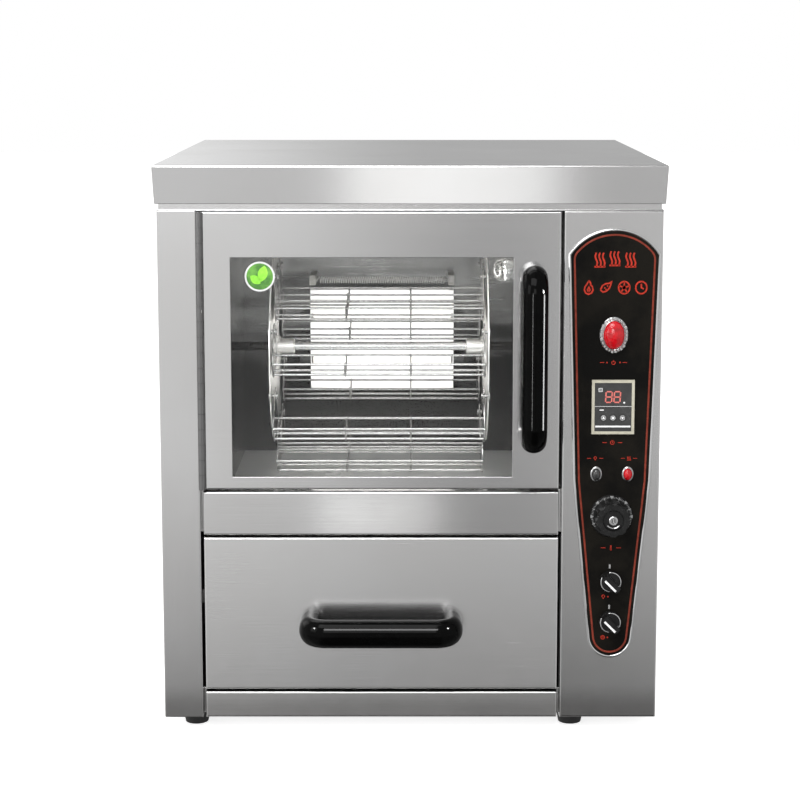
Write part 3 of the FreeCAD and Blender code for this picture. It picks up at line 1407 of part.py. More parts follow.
def make_timer():
    half_x = "timer_width / 2"
    half_z = "timer_tall / 2"
    rim = box("timer_rim_block", ("control_x - " + half_x, "control_x + " + half_x),
              ("timer_front", "plate_front"),
              ("timer_z - " + half_z, "timer_z + " + half_z))
    body = box("timer_body_block", TIMER_HOLE[:2], ("plate_front", "plate_front + timer_body_depth"),
               TIMER_HOLE[2:])
    recess = box("timer_recess_cut",
                 ("control_x - %s + timer_rim" % half_x, "control_x + %s - timer_rim" % half_x),
                 ("timer_front - overrun", "timer_face"),
                 ("timer_z - %s + timer_rim" % half_z, "timer_z + %s - timer_rim" % half_z))
    cuts = [recess]
    for number, side in enumerate(("left", "middle", "right")):
        x = "control_x + timer_button_spacing * %d" % (number - 1)
        at = (x, "timer_button_z")
        cuts.append(rod("timer_bore_" + side, "y",
                        ("timer_front - overrun", "timer_face + timer_bore_depth"), at,
                        "timer_button_radius + timer_button_play"))
        tip = "timer_face - timer_button_reach"
        cap = rod("timer_cap_" + side, "y", (tip, tip + " + timer_button_length"), at,
                  "timer_button_radius")
        sub_part("timer_button_" + side, rounded("timer_cap_round_" + side, cap,
                                                 flat_at("Y",
                                                         size("timer_face") - size("timer_button_reach")),
                                                 "timer_button_play"))
    sub_part("timer_housing", cut("timer_housing_bored", fuse("timer_block", rim, body), *cuts))


def make_dial():
    at = ("control_x", "dial_z")
    skirt_back = "plate_front - knob_gap"
    skirt_front = skirt_back + " - dial_skirt_thickness"
    tip = skirt_back + " - dial_grip_reach"
    skirt = cone("dial_skirt", "y", (skirt_front, skirt_back), at,
                 ("dial_skirt_radius - dial_skirt_thickness / 2",
                                                                    "dial_skirt_radius"))
    grip = cone("dial_grip", "y", (tip, skirt_front), at, ("dial_grip_radius - skin", "dial_grip_radius"))
    scallops = []
    for number in range(DIAL_SCALLOPS):
        turn = number * 360.0 / DIAL_SCALLOPS
        reach = "(dial_grip_radius + dial_scallop_radius - dial_scallop_depth)"
        x = "control_x + %s * sin(%s)" % (reach, turn)
        z = "dial_z + %s * cos(%s)" % (reach, turn)
        scallops.append(rod("dial_scallop_%d" % number, "y", (tip + " - overrun", skirt_front), (x, z),
                            "dial_scallop_radius"))
    bowl = cone("dial_bowl", "y", (tip + " - overrun / 2", tip + " + overrun"), at,
                ("dial_face_radius", "dial_face_radius - overrun"))
    shaped = cut("dial_grip_shaped", grip, *scallops, bowl)
    spindle = rod("dial_spindle", "y", (tip, "front + skin + spindle_sink - knob_gap"), at,
                  "spindle_radius")
    sub_part("thermostat_knob", fuse("dial_knob", skirt, shaped, spindle))

    half = "thermostat_side / 2"
    case = box("thermostat_case", ("control_x - " + half, "control_x + " + half),
               ("front + skin", "front + skin + thermostat_depth"),
               ("dial_z - " + half, "dial_z + " + half))
    bore = rod("thermostat_bore", "y", ("front", "front + skin + spindle_sink"), at,
               "spindle_radius + spindle_play")
    sub_part("thermostat_body", cut("thermostat_bored", case, bore))


def make_switches():
    cases = []
    for name, z in (("upper", "upper_switch_z"), ("lower", "lower_switch_z")):
        at = ("control_x", z)
        skirt_back = "plate_front - knob_gap"
        skirt_front = skirt_back + " - switch_skirt_thickness"
        skirt = cone(name + "_switch_skirt", "y", (skirt_front, skirt_back), at,
                     ("switch_skirt_radius - skin", "switch_skirt_radius"))
        half = "switch_grip_width / 2"
        long_half = "(switch_skirt_radius - skin)"
        grip = doc.addObject("Part::Box", name + "_switch_grip")
        bind(grip, "Length", "2 * " + long_half)
        bind(grip, "Width", "switch_grip_reach - switch_skirt_thickness")
        bind(grip, "Height", "switch_grip_width")
        turn = "switch_grip_degrees"
        lean(grip, Vector(0, 1, 0), turn)
        bind(grip, "Placement.Base.x",
             "control_x - %s * cos(%s) - %s * sin(%s)" % (long_half, turn, half, turn))
        bind(grip, "Placement.Base.y", skirt_back + " - switch_grip_reach")
        bind(grip, "Placement.Base.z",
             "%s + %s * sin(%s) - %s * cos(%s)" % (z, long_half, turn, half, turn))
        envelope = rod(name + "_switch_envelope", "y", (skirt_back + " - switch_grip_reach", skirt_back),
                       at,
                       "switch_skirt_radius - skin")
        trimmed = doc.addObject("Part::MultiCommon", name + "_switch_grip_trimmed")
        trimmed.Shapes = [grip, envelope]
        spindle = rod(name + "_switch_spindle", "y",
                      (skirt_front, "front + skin + spindle_sink - knob_gap"), at,
                      "spindle_radius")
        sub_part(name + "_switch_knob", fuse(name + "_switch_cap", skirt, trimmed, spindle))

        neck = rod(name + "_switch_neck", "y", ("plate_front + knob_gap", "front + skin"), at,
                   "switch_neck_radius")
        case = rod(name + "_switch_case", "y", ("front + skin", "front + skin + switch_body_depth"), at,
                   "switch_body_radius")
        bore = rod(name + "_switch_bore", "y", ("plate_front", "front + skin + spindle_sink"), at,
                   "spindle_radius + spindle_play")
        cases.append(cut(name + "_switch_body", fuse(name + "_switch_block", neck, case), bore))
    sub_part("switch_bodies", group("switch_body_pair", cases))


def check_and_write():
    doc.recompute()
    for item in doc.Objects:
        if "Invalid" in item.State or "Error" in item.State:
            raise RuntimeError("%s failed: %s" % (item.Name, item.State))
    for item in sub_parts:
        shape = item.Shape
        if shape.isNull() or not shape.isValid() or not shape.Solids:
            raise RuntimeError("%s has no sound shape" % item.Label)
        if any(solid.Volume <= 0 for solid in shape.Solids):
            raise RuntimeError("%s has an empty solid" % item.Label)
    os.makedirs("parts", exist_ok=True)
    for item in sub_parts:
        item.Shape.exportStep("parts/%s.step" % item.Label)
    print("%d sub-parts, %d solids" % (len(sub_parts), sum(len(item.Shape.Solids) for item in sub_parts)))


fill_sheet()
fill_places()
make_casing()
make_feet()
make_cavity()
make_catch()
make_wheel()
make_drive()
make_heaters()
make_oven_lamp()
make_door()
make_hinge()
make_handles()
make_drawer()
make_column()
make_lamps()
make_timer()
make_dial()
make_switches()
check_and_write()
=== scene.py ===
"""The dressed basket oven: finishes, fine pieces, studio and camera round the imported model.

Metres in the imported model's frame: X to the right, Y from the door to the back, Z up.
"""
import json
import math

import bmesh
import bpy
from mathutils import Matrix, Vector


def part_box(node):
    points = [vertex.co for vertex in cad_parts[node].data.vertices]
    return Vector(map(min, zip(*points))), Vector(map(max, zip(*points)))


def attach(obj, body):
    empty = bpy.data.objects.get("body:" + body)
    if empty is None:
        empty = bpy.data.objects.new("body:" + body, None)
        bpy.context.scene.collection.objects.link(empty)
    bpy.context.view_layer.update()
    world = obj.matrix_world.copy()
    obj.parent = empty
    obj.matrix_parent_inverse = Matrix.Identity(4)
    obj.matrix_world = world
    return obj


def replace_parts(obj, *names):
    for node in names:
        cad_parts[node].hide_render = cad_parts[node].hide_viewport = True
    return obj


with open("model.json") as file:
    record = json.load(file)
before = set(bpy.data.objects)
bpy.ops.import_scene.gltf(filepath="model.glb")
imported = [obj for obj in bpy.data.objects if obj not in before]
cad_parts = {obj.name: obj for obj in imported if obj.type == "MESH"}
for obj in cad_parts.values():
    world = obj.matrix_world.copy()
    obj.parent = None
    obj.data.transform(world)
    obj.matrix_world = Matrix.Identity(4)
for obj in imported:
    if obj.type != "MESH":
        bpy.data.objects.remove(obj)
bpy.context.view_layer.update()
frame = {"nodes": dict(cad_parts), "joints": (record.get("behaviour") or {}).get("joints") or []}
nodes = frame["nodes"]
joint_at = {joint["name"]: Vector(joint["pos_m"]) for joint in frame["joints"] if "pos_m" in joint}
MM = 0.001
TURN = 2 * math.pi


# Node trees

def feed(tree, socket, value):
    """Links a socket from another one, or sets it to a plain value."""
    if isinstance(value, bpy.types.NodeSocket):
        tree.links.new(value, socket)
    else:
        socket.default_value = value


def add_node(tree, kind, settings=(), sockets=()):
    """A node with its settings, and its sockets fed by their names or places."""
    item = tree.nodes.new(kind)
    for name, value in dict(settings).items():
        setattr(item, name, value)
    for name, value in dict(sockets).items():
        feed(tree, item.inputs[name], value)
    return item


def new_group(name, inputs, outputs):
    """An empty node group with named sockets."""
    tree = bpy.data.node_groups.new(name, "ShaderNodeTree")
    for label, kind, value in inputs:
        socket = tree.interface.new_socket(label, in_out="INPUT", socket_type="NodeSocket" + kind)
        socket.default_value = value
    for label, kind in outputs:
        tree.interface.new_socket(label, in_out="OUTPUT", socket_type="NodeSocket" + kind)
    source = tree.nodes.new("NodeGroupInput")
    sink = tree.nodes.new("NodeGroupOutput")
    return tree, source.outputs, sink.inputs


def put_out(tree, out, **values):
    for name, value in values.items():
        tree.links.new(value, out[name])


def place_group(tree, group, **sockets):
    return add_node(tree, "ShaderNodeGroup", {"node_tree": group},
                    {name.replace("_", " "): value for name, value in sockets.items()}).outputs


def noise(tree, vector, scale, detail=2.0, roughness=0.5):
    return add_node(tree, "ShaderNodeTexNoise", {}, {"Vector": vector, "Scale": scale, "Detail": detail,
                                                     "Roughness": roughness}).outputs["Fac"]


def spread(tree, value, low, high, to_low, to_high, smooth=False):
    settings = {"interpolation_type": "SMOOTHSTEP"} if smooth else {}
    return add_node(tree, "ShaderNodeMapRange", settings, {"Value": value, "From Min": low, "From Max": high,
                                                           "To Min": to_low, "To Max": to_high}).outputs["Result"]


def math_node(tree, operation, first, second=0.0):
    return add_node(tree, "ShaderNodeMath", {"operation": operation}, {0: first, 1: second}).outputs[0]


def times(tree, first, second):
    return math_node(tree, "MULTIPLY", first, second)


MIX_FACTOR, MIX_FIRST, MIX_SECOND, MIX_RESULT = 0, 6, 7, 2


def mix_colours(tree, factor, first, second):
    return add_node(tree, "ShaderNodeMix", {"data_type": "RGBA"},
                    {MIX_FACTOR: factor, MIX_FIRST: first, MIX_SECOND: second}).outputs[MIX_RESULT]


def mix_values(tree, factor, first, second):
    return add_node(tree, "ShaderNodeMix", {"data_type": "FLOAT"},
                    {"Factor": factor, "A": first, "B": second}).outputs["Result"]


def object_place(tree):
    return add_node(tree, "ShaderNodeTexCoord").outputs["Object"]


def one_of(tree, vector, axis):
    """One of the three numbers of a place or a direction."""
    return add_node(tree, "ShaderNodeSeparateXYZ", {}, {"Vector": vector}).outputs[axis]


def stretched(tree, vector, scale):
    return add_node(tree, "ShaderNodeMapping", {}, {"Vector": vector, "Scale": scale}).outputs["Vector"]


def build_sheet_grain():
    """The long fine scratches of a ground sheet, with the softer bands that handling leaves."""
    tree, given, out = new_group(
        "sheet_grain",
        [("Stretch", "Vector", (1, 1, 1)), ("Smooth", "Float", 0.3), ("Rough", "Float", 0.4)],
        [("Roughness", "Float"), ("Height", "Float"), ("Mask", "Float")])
    place = object_place(tree)
    fine = noise(tree, stretched(tree, place, given["Stretch"]), 1.0, detail=3.0, roughness=0.7)
    cloud = noise(tree, place, 7.0, detail=3.0)
    both = math_node(tree, "ADD", times(tree, fine, 0.6), times(tree, cloud, 0.4))
    put_out(tree, out, Roughness=spread(tree, both, 0.3, 0.7, given["Smooth"], given["Rough"]), Height=fine,
            Mask=spread(tree, cloud, 0.35, 0.65, 0.0, 1.0, smooth=True))
    return tree


def build_surface_cloud():
    """Soft uneven patches in a colour and in its shine."""
    tree, given, out = new_group(
        "surface_cloud",
        [("Colour", "Color", (0.5, 0.5, 0.5, 1)), ("Patch", "Color", (0.4, 0.4, 0.4, 1)), ("Scale", "Float", 20.0),
         ("Smooth", "Float", 0.3), ("Rough", "Float", 0.5)],
        [("Colour", "Color"), ("Roughness", "Float"), ("Mask", "Float")])
    patch = noise(tree, object_place(tree), given["Scale"], detail=4.0, roughness=0.6)
    mask = spread(tree, patch, 0.38, 0.62, 0.0, 1.0, smooth=True)
    put_out(tree, out, Colour=mix_colours(tree, mask, given["Colour"], given["Patch"]), Mask=mask,
            Roughness=spread(tree, patch, 0.3, 0.7, given["Smooth"], given["Rough"]))
    return tree


def build_moulded_skin():
    """The fine orange peel of moulded or sprayed surfaces, with a few tiny pits."""
    tree, given, out = new_group("moulded_skin", [("Scale", "Float", 900.0), ("Pits", "Float", 0.2)],
                                 [("Height", "Float")])
    place = object_place(tree)
    cells = add_node(tree, "ShaderNodeTexVoronoi", {"feature": "F1"},
                     {"Vector": place, "Scale": given["Scale"]}).outputs["Distance"]
    dents = times(tree, spread(tree, cells, 0.0, 0.4, 0.0, 1.0), given["Pits"])
    put_out(tree, out, Height=math_node(tree, "ADD", noise(tree, place, given["Scale"]), dents))
    return tree


FOOT_SHADE_LOW, FOOT_SHADE_HIGH = 0.024, 0.062


def build_low_dust_and_foot_shade():
    """Dust and scuffs that thin out upwards from the counter, and painted shade along the foot of the sheets."""
    tree, given, out = new_group("low_dust_and_foot_shade", [("Reach", "Float", 0.2), ("Amount", "Float", 0.3)], [("Mask", "Float")])
    place = object_place(tree)
    height = one_of(tree, place, "Z")
    low = spread(tree, height, 0.0, given["Reach"], 1.0, 0.0, smooth=True)
    patch = spread(tree, noise(tree, place, 45.0, detail=5.0, roughness=0.65), 0.35, 0.75, 0.1, 0.55)
    # painted shade: the foot of each sheet is darkened where shade falls by the counter
    foot = spread(tree, height, FOOT_SHADE_LOW, FOOT_SHADE_HIGH, 2.6, 0.0, smooth=True)
    put_out(tree, out, Mask=times(tree, math_node(tree, "ADD", times(tree, low, patch), foot), given["Amount"]))
    return tree


TARNISH_AND_REFLECTION_RUNS = (7.0, 7.0, 26.0)
TARNISH_AND_REFLECTION_SWING = 0.42


def build_tarnish_and_painted_shade():
    """Darkening of upright walls, heavier low down and broken up in level runs: partly baked-on film, partly painted
    shade and painted reflections.
    """
    tree, given, out = new_group("baked_tarnish_and_painted_shade", [("Low", "Float", 0.33), ("High", "Float", 0.5)],
                                 [("Mask", "Float"), ("Level", "Float")])
    place = object_place(tree)
    # the level runs paint light and dark patches, like reflections, across the walls
    tarnish_and_reflection_runs = math_node(tree, "SUBTRACT", noise(tree, stretched(tree, place, TARNISH_AND_REFLECTION_RUNS), 1.0), 0.5)
    height = math_node(tree, "ADD", one_of(tree, place, "Z"), times(tree, tarnish_and_reflection_runs, TARNISH_AND_REFLECTION_SWING))
    film_and_shade = spread(tree, height, given["Low"], given["High"], 1.0, 0.0, smooth=True)
    upward = one_of(tree, add_node(tree, "ShaderNodeNewGeometry").outputs["Normal"], "Z")
    level = spread(tree, math_node(tree, "ABSOLUTE", upward), 0.3, 0.9, 0.0, 1.0)
    put_out(tree, out, Mask=times(tree, film_and_shade, math_node(tree, "SUBTRACT", 1.0, level)), Level=level)
    return tree


END_FADE = 4.0 * MM


def build_ends_mask():
    """Masks what lies further than Half from Middle along the width."""
    tree, given, out = new_group("ends_mask", [("Middle", "Float", 0.0), ("Half", "Float", 0.1)], [("Mask", "Float")])
    across = math_node(tree, "SUBTRACT", one_of(tree, object_place(tree), "X"), given["Middle"])
    past = math_node(tree, "SUBTRACT", math_node(tree, "ABSOLUTE", across), given["Half"])
    put_out(tree, out, Mask=spread(tree, past, 0.0, END_FADE, 0.0, 1.0))
    return tree


GRAIN = build_sheet_grain()
CLOUD = build_surface_cloud()
SKIN = build_moulded_skin()
DUST_AND_SHADE = build_low_dust_and_foot_shade()
TARNISH_AND_SHADE = build_tarnish_and_painted_shade()
ENDS = build_ends_mask()


# Finishes, each kept under its name

FINISH = {}
FINE_GRAIN = 0.02 * MM
SKIN_DEPTH = 0.03 * MM
BEVEL_SAMPLES = 6
FOLD = 1.0 * MM
ALONG_X = (9.0, 1500.0, 1500.0)
ALONG_Y = (1500.0, 9.0, 1500.0)
ALONG_Z = (1500.0, 1500.0, 9.0)
ROUND_SHAFT = (900.0, 120.0, 120.0)
LINER_GRAIN = (6.0, 6.0, 300.0)
CRUMPLED = (190.0, 190.0, 190.0)
EVEN = (900.0, 900.0, 900.0)
TUBE_CAP = 6.0 * MM


def grey(level, warmth=0.0):
    return (level * (1 + warmth), level, level * (1 - warmth), 1)


def new_material(name):
    material = bpy.data.materials.new(name)
    material.use_nodes = True
    FINISH[name] = material
    return material.node_tree, material.node_tree.nodes["Principled BSDF"]


def set_sockets(tree, shader, **sockets):
    for name, value in sockets.items():
        feed(tree, shader.inputs[name.replace("_", " ")], value)


def bump(tree, height, distance, fold=0.0):
    sockets = {"Height": height, "Distance": distance}
    if fold:
        bevel = add_node(tree, "ShaderNodeBevel", {"samples": BEVEL_SAMPLES}, {"Radius": fold})
        sockets["Normal"] = bevel.outputs["Normal"]
    return add_node(tree, "ShaderNodeBump", {}, sockets).outputs["Normal"]


def new_grained(name, stretch, smooth, rough):
    tree, shader = new_material(name)
    return tree, shader, place_group(tree, GRAIN, Stretch=stretch, Smooth=smooth, Rough=rough)


def set_surface(tree, shader, colour, surface, depth, fold=0.0, **sockets):
    """Sets the colour, and the roughness and height that a group of nodes gives."""
    set_sockets(tree, shader, Base_Color=colour, Roughness=surface["Roughness"],
                Normal=bump(tree, surface["Height"], depth, fold), **sockets)


def make_steel(name, level, stretch, smooth, rough, depth=FINE_GRAIN, warmth=0.004, dust_and_shade=0.25, fold=0.0):
    """Ground stainless sheet: metal with drawn grain, cloudy handling marks, and dust and painted shade low down."""
    tree, shader, grain = new_grained(name, stretch, smooth, rough)
    clean = mix_colours(tree, grain["Mask"], grey(level, warmth), grey(level * 0.97, warmth * 2))
    # dust low down and painted shade along the foot of the sheet, darkening the colour
    low = place_group(tree, DUST_AND_SHADE, Reach=0.24, Amount=dust_and_shade)
    colour = mix_colours(tree, low["Mask"], clean, grey(level * 0.5, 0.02))
    set_surface(tree, shader, colour, grain, depth, fold, Metallic=1.0)


def make_liner(name, clean, tarnish_and_shade, floor, smooth, rough):
    """Cavity lining: dull steel darkened by baked-on film and by painted shade and reflections, and painted lighter on
    its level faces.
    """
    tree, shader, grain = new_grained(name, LINER_GRAIN, smooth, rough)
    film_and_shade = place_group(tree, TARNISH_AND_SHADE, Low=0.34, High=0.52)
    walls = mix_colours(tree, film_and_shade["Mask"], grey(clean, 0.01), grey(tarnish_and_shade, 0.04))
    # painted light: the level faces take a lighter colour, as if lit
    set_surface(tree, shader, mix_colours(tree, film_and_shade["Level"], walls, grey(floor, 0.01)), grain, FINE_GRAIN,
                Metallic=spread(tree, film_and_shade["Level"], 0.0, 1.0, 0.82, 0.35))


def mask_ends(tree, node, cap=0.0):
    """The mask of what runs out past a node at its left and right."""
    low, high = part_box(node)
    return place_group(tree, ENDS, Middle=(low.x + high.x) / 2, Half=(high.x - low.x) / 2 - cap)["Mask"]


def make_shaft(name, bright, outer_dark):
    """Turned shaft: bright between the discs, darker where it runs out to the walls."""
    tree, shader, grain = new_grained(name, ROUND_SHAFT, 0.16, 0.3)
    colour = mix_colours(tree, mask_ends(tree, "wheel_discs"), grey(bright), grey(outer_dark, 0.05))
    set_surface(tree, shader, colour, grain, FINE_GRAIN, Metallic=1.0)


def make_heater_tube(name, glow):
    """Frosted heater tube: a painted white glow over the reflector, plain dark caps beyond its ends."""
    tree, shader = new_material(name)
    cloud = place_group(tree, CLOUD, Colour=grey(0.86, 0.02), Patch=grey(0.80, 0.03), Scale=60.0, Smooth=0.15,
                        Rough=0.3)
    ends = mask_ends(tree, "heater_reflector", TUBE_CAP)
    # painted light: the tube glows white over the reflector, standing in for light on the frosted glass
    set_sockets(tree, shader, Base_Color=mix_colours(tree, ends, cloud["Colour"], grey(0.05)),
                Roughness=cloud["Roughness"], Emission_Color=(1.0, 0.95, 0.88, 1),
                Emission_Strength=spread(tree, ends, 0.0, 1.0, glow, 0.0))


def make_plain(name, colour, patch, scale, smooth, rough, peel=900.0, pits=0.2, depth=SKIN_DEPTH, **sockets):
    """Plastic, paint, rubber or ceramic: cloudy colour and shine over a fine moulded skin."""
    tree, shader = new_material(name)
    cloud = place_group(tree, CLOUD, Colour=colour, Patch=patch, Scale=scale, Smooth=smooth, Rough=rough)
    skin = place_group(tree, SKIN, Scale=peel, Pits=pits)
    set_sockets(tree, shader, Base_Color=cloud["Colour"], Roughness=cloud["Roughness"],
                Normal=bump(tree, skin["Height"], depth), **sockets)


def make_glass(name, colour, smooth, rough):
    """Clear glass with faint smears; light shines through it onto what lies behind."""
    tree, shader = new_material(name)
    cloud = place_group(tree, CLOUD, Colour=colour, Patch=colour, Scale=14.0, Smooth=smooth, Rough=rough)
    set_sockets(tree, shader, Base_Color=cloud["Colour"], Roughness=cloud["Roughness"], IOR=1.27,
                Transmission_Weight=1.0)
    passing = add_node(tree, "ShaderNodeBsdfTransparent", {}, {"Color": (0.93, 0.95, 0.94, 1)})
    ray = add_node(tree, "ShaderNodeLightPath")
    mix = add_node(tree, "ShaderNodeMixShader", {},
                   {0: ray.outputs["Is Shadow Ray"], 1: shader.outputs[0], 2: passing.outputs[0]})
    tree.links.new(mix.outputs[0], tree.nodes["Material Output"].inputs["Surface"])


def make_metals():
    make_steel("satin_sheet", 0.60, ALONG_X, 0.12, 0.18, fold=FOLD)
    # painted light: a lighter copy of the satin sheet, for the drawer and the bottom rail
    make_steel("satin_drawer", 0.80, ALONG_X, 0.20, 0.28, fold=FOLD)
    # painted shade: a darker copy of the satin sheet, for the lid
    make_steel("satin_lid_shaded", 0.53, ALONG_X, 0.12, 0.18, fold=FOLD)
    make_steel("satin_upright", 0.60, ALONG_Z, 0.16, 0.22, fold=FOLD)
    make_steel("satin_side", 0.60, ALONG_Y, 0.16, 0.22, fold=FOLD)
    make_liner("liner_sheet", 0.34, 0.03, 0.85, 0.14, 0.30)
    make_liner("liner_side", 0.62, 0.12, 0.85, 0.12, 0.26)
    make_steel("hidden_sheet", 0.48, ALONG_X, 0.32, 0.46)
    make_steel("disc_sheet", 0.90, ALONG_Z, 0.26, 0.40, warmth=0.01, dust_and_shade=0.0)
    make_shaft("shaft_steel", 0.62, 0.03)
    # painted shade: the hinge darkened to stand in for the shaded seam beside the door
    make_steel("hinge_steel_shaded", 0.20, ALONG_Z, 0.18, 0.3)
    make_steel("bezel_steel", 0.42, ALONG_X, 0.12, 0.24, warmth=0.0, dust_and_shade=0.0)
    make_steel("foil", 0.62, CRUMPLED, 0.06, 0.16, depth=2.2 * MM, warmth=0.0, dust_and_shade=0.0)
    make_steel("bright_wire", 0.38, ALONG_X, 0.12, 0.22, warmth=0.006, dust_and_shade=0.0)
    make_steel("trim_metal", 0.62, ALONG_Z, 0.10, 0.20, warmth=0.0, dust_and_shade=0.0)
    make_steel("screw_zinc", 0.55, EVEN, 0.22, 0.4, warmth=0.01)
    make_plain("brass", (0.62, 0.44, 0.17, 1), (0.50, 0.34, 0.13, 1), 150.0, 0.25, 0.42, Metallic=1.0)


def make_plastics_and_paints():
    make_plain("reflector_sheet", grey(0.86, 0.01), grey(0.80, 0.01), 25.0, 0.32, 0.45)
    make_plain("gear_paint", grey(0.33), grey(0.27), 60.0, 0.45, 0.65)
    make_plain("lagging_board", grey(0.78, 0.06), grey(0.66, 0.09), 90.0, 0.85, 1.0, 260.0, 0.8, 0.6 * MM)
    make_plain("ceramic", grey(0.30, 0.03), grey(0.22, 0.05), 120.0, 0.35, 0.55)
    make_plain("heater_coil", grey(0.46, 0.02), grey(0.32, 0.04), 300.0, 0.3, 0.5)
    make_plain("gloss_black", grey(0.001), grey(0.0016), 30.0, 0.05, 0.09, 500.0, 0.0, 0.004 * MM,
               Specular_IOR_Level=0.045)
    make_plain("knob_black", grey(0.006), grey(0.010), 120.0, 0.16, 0.30, 1400.0, 0.3, 0.02 * MM,
               Specular_IOR_Level=0.3)
    make_plain("plate_black", (0.0035, 0.0033, 0.003, 1), (0.008, 0.007, 0.0055, 1), 16.0, 0.10, 0.2, 700.0, 0.0,
               0.006 * MM, Specular_IOR_Level=0.06)
    make_plain("cream_case", (0.42, 0.40, 0.32, 1), (0.36, 0.34, 0.27, 1), 140.0, 0.3, 0.45)
    make_plain("display_black", grey(0.028), grey(0.036), 70.0, 0.18, 0.3, 1200.0, 0.1, 0.01 * MM)
    make_plain("button_grey", grey(0.10), grey(0.13), 200.0, 0.3, 0.45)
    # white print, also used for the painted highlight on the switch grips
    make_plain("print_white_and_painted_highlight", grey(0.78), grey(0.66), 260.0, 0.35, 0.5)
    make_plain("print_red", (0.40, 0.030, 0.016, 1), (0.30, 0.024, 0.013, 1), 220.0, 0.3, 0.45,
               Specular_IOR_Level=0.10)
    make_plain("line_red", (0.18, 0.030, 0.018, 1), (0.13, 0.022, 0.013, 1), 120.0, 0.3, 0.45,
               Specular_IOR_Level=0.10)
    make_plain("print_grey", grey(0.30), grey(0.22), 260.0, 0.35, 0.5)
    make_plain("digit_red", (0.50, 0.12, 0.10, 1), (0.42, 0.09, 0.08, 1), 300.0, 0.3, 0.5,
               Emission_Color=(0.75, 0.20, 0.15, 1), Emission_Strength=0.25)
    make_plain("foot_rubber", grey(0.012), grey(0.022), 70.0, 0.6, 0.85, 500.0, 0.8, 0.2 * MM)
    make_plain("seal_rubber_and_gap_shade", grey(0.02), grey(0.03), 90.0, 0.5, 0.7)
    # black rubber for the glass gasket, also the painted shade in the gaps beside the column
    make_plain("magnet_black", grey(0.04), grey(0.06), 90.0, 0.4, 0.6)
    make_plain("sticker_green", (0.05, 0.16, 0.03, 1), (0.12, 0.32, 0.05, 1), 60.0, 0.15, 0.3)
    make_plain("sticker_light", (0.30, 0.70, 0.07, 1), (0.20, 0.55, 0.04, 1), 80.0, 0.15, 0.3)
    make_plain("sticker_white", grey(0.62), grey(0.52), 90.0, 0.2, 0.35)


def make_lamp_and_glass_finishes():
    make_heater_tube("heater_glass", 1.0)
    make_plain("lamp_red", (0.42, 0.003, 0.007, 1), (0.28, 0.002, 0.005, 1), 150.0, 0.06, 0.14, 300.0, 0.6, 0.3 * MM,
               Coat_Weight=0.12, Coat_Roughness=0.05, Emission_Color=(0.75, 0.01, 0.02, 1), Emission_Strength=0.05)
    make_plain("lamp_clear", grey(0.03), grey(0.02), 200.0, 0.06, 0.14, 300.0, 0.6, 0.3 * MM, Coat_Weight=0.25,
               Coat_Roughness=0.05)
    make_plain("bulb_glow", grey(0.9, 0.02), grey(0.85, 0.04), 200.0, 0.1, 0.2, Emission_Color=(1.0, 0.96, 0.90, 1),
               Emission_Strength=2.2)
    make_glass("door_glass", (0.985, 0.995, 0.99, 1), 0.0, 0.012)
    make_glass("bulb_glass", (1, 1, 1, 1), 0.0, 0.02)


NODE_FINISH = {
    "satin_sheet": ["door_shell", "mid_rail", "back_panel", "door_inner_pan"],
    "satin_drawer": ["drawer_front", "bottom_rail"],
    "satin_lid_shaded": ["lid"],
    "satin_upright": ["control_column", "left_side_panel"],
    "hinge_steel_shaded": ["hinge_leaf_fixed", "hinge_leaf_door", "hinge_pin"],
    "satin_side": ["right_side_panel", "top_panel"],
    "liner_sheet": ["cavity_wrap"],
    "liner_side": ["cavity_side_walls", "partition_walls"],
    "hidden_sheet": ["base_pan", "drawer_tray", "drawer_runners"],
    "disc_sheet": ["wheel_discs", "shaft_coupling"],
    "shaft_steel": ["wheel_shaft"],
    "reflector_sheet": ["heater_reflector"],
    "bright_wire": ["basket_%d" % (k + 1) for k in range(8)] + ["basket_pins"],
    "bezel_steel": ["lamp_bezels"],
    "screw_zinc": ["panel_screws"],
    "gear_paint": ["gearmotor", "thermostat_body"],
    "lagging_board": ["insulation_boards"],
    "ceramic": ["coil_holders"],
    "heater_glass": ["quartz_heaters"],
    "heater_coil": ["coil_heater"],
    "brass": ["shaft_bearings"],
    "gloss_black": ["door_handle", "drawer_handle"],
    "knob_black": ["thermostat_knob", "upper_switch_knob", "lower_switch_knob", "switch_bodies", "cable_gland"],
    "plate_black": ["control_overlay"],
    "cream_case": ["timer_housing"],
    "button_grey": ["timer_button_left", "timer_button_middle", "timer_button_right"],
    "lamp_red": ["lamp_lenses"],
    "foot_rubber": ["rubber_feet"],
    "seal_rubber_and_gap_shade": ["glass_gasket"],
    "magnet_black": ["magnet_catch"],
    "door_glass": ["window_glass"],
}


def dress_nodes():
    for finish, names in NODE_FINISH.items():
        for name in names:
            slots = nodes[name].data.materials
            slots.clear()
            slots.append(FINISH[finish])


# Mesh shapes, gathered in one bmesh for each piece

def arc(x, z, radius, start, end, count):
    """Points on a circle in the front view, degrees counted from the right and upwards."""
    steps = [math.radians(start + (end - start) * k / count) for k in range(count + 1)]
    return [(x + radius * math.cos(a), z + radius * math.sin(a)) for a in steps]


def directions(degrees):
    """The way at an angle in the front view, and the way at a right angle to it."""
    turn = math.radians(degrees)
    return Vector((math.cos(turn), math.sin(turn))), Vector((-math.sin(turn), math.cos(turn)))


def bridge(bm, rings):
    """Faces between each ring of corners and the next; a ring may be a single point."""
    for low, high in zip(rings, rings[1:]):
        count = max(len(low), len(high))
        for k in range(count):
            n = (k + 1) % count
            corners = [low[k % len(low)], low[n % len(low)], high[n % len(high)], high[k % len(high)]]
            bm.faces.new([v for place, v in enumerate(corners) if v not in corners[:place]])


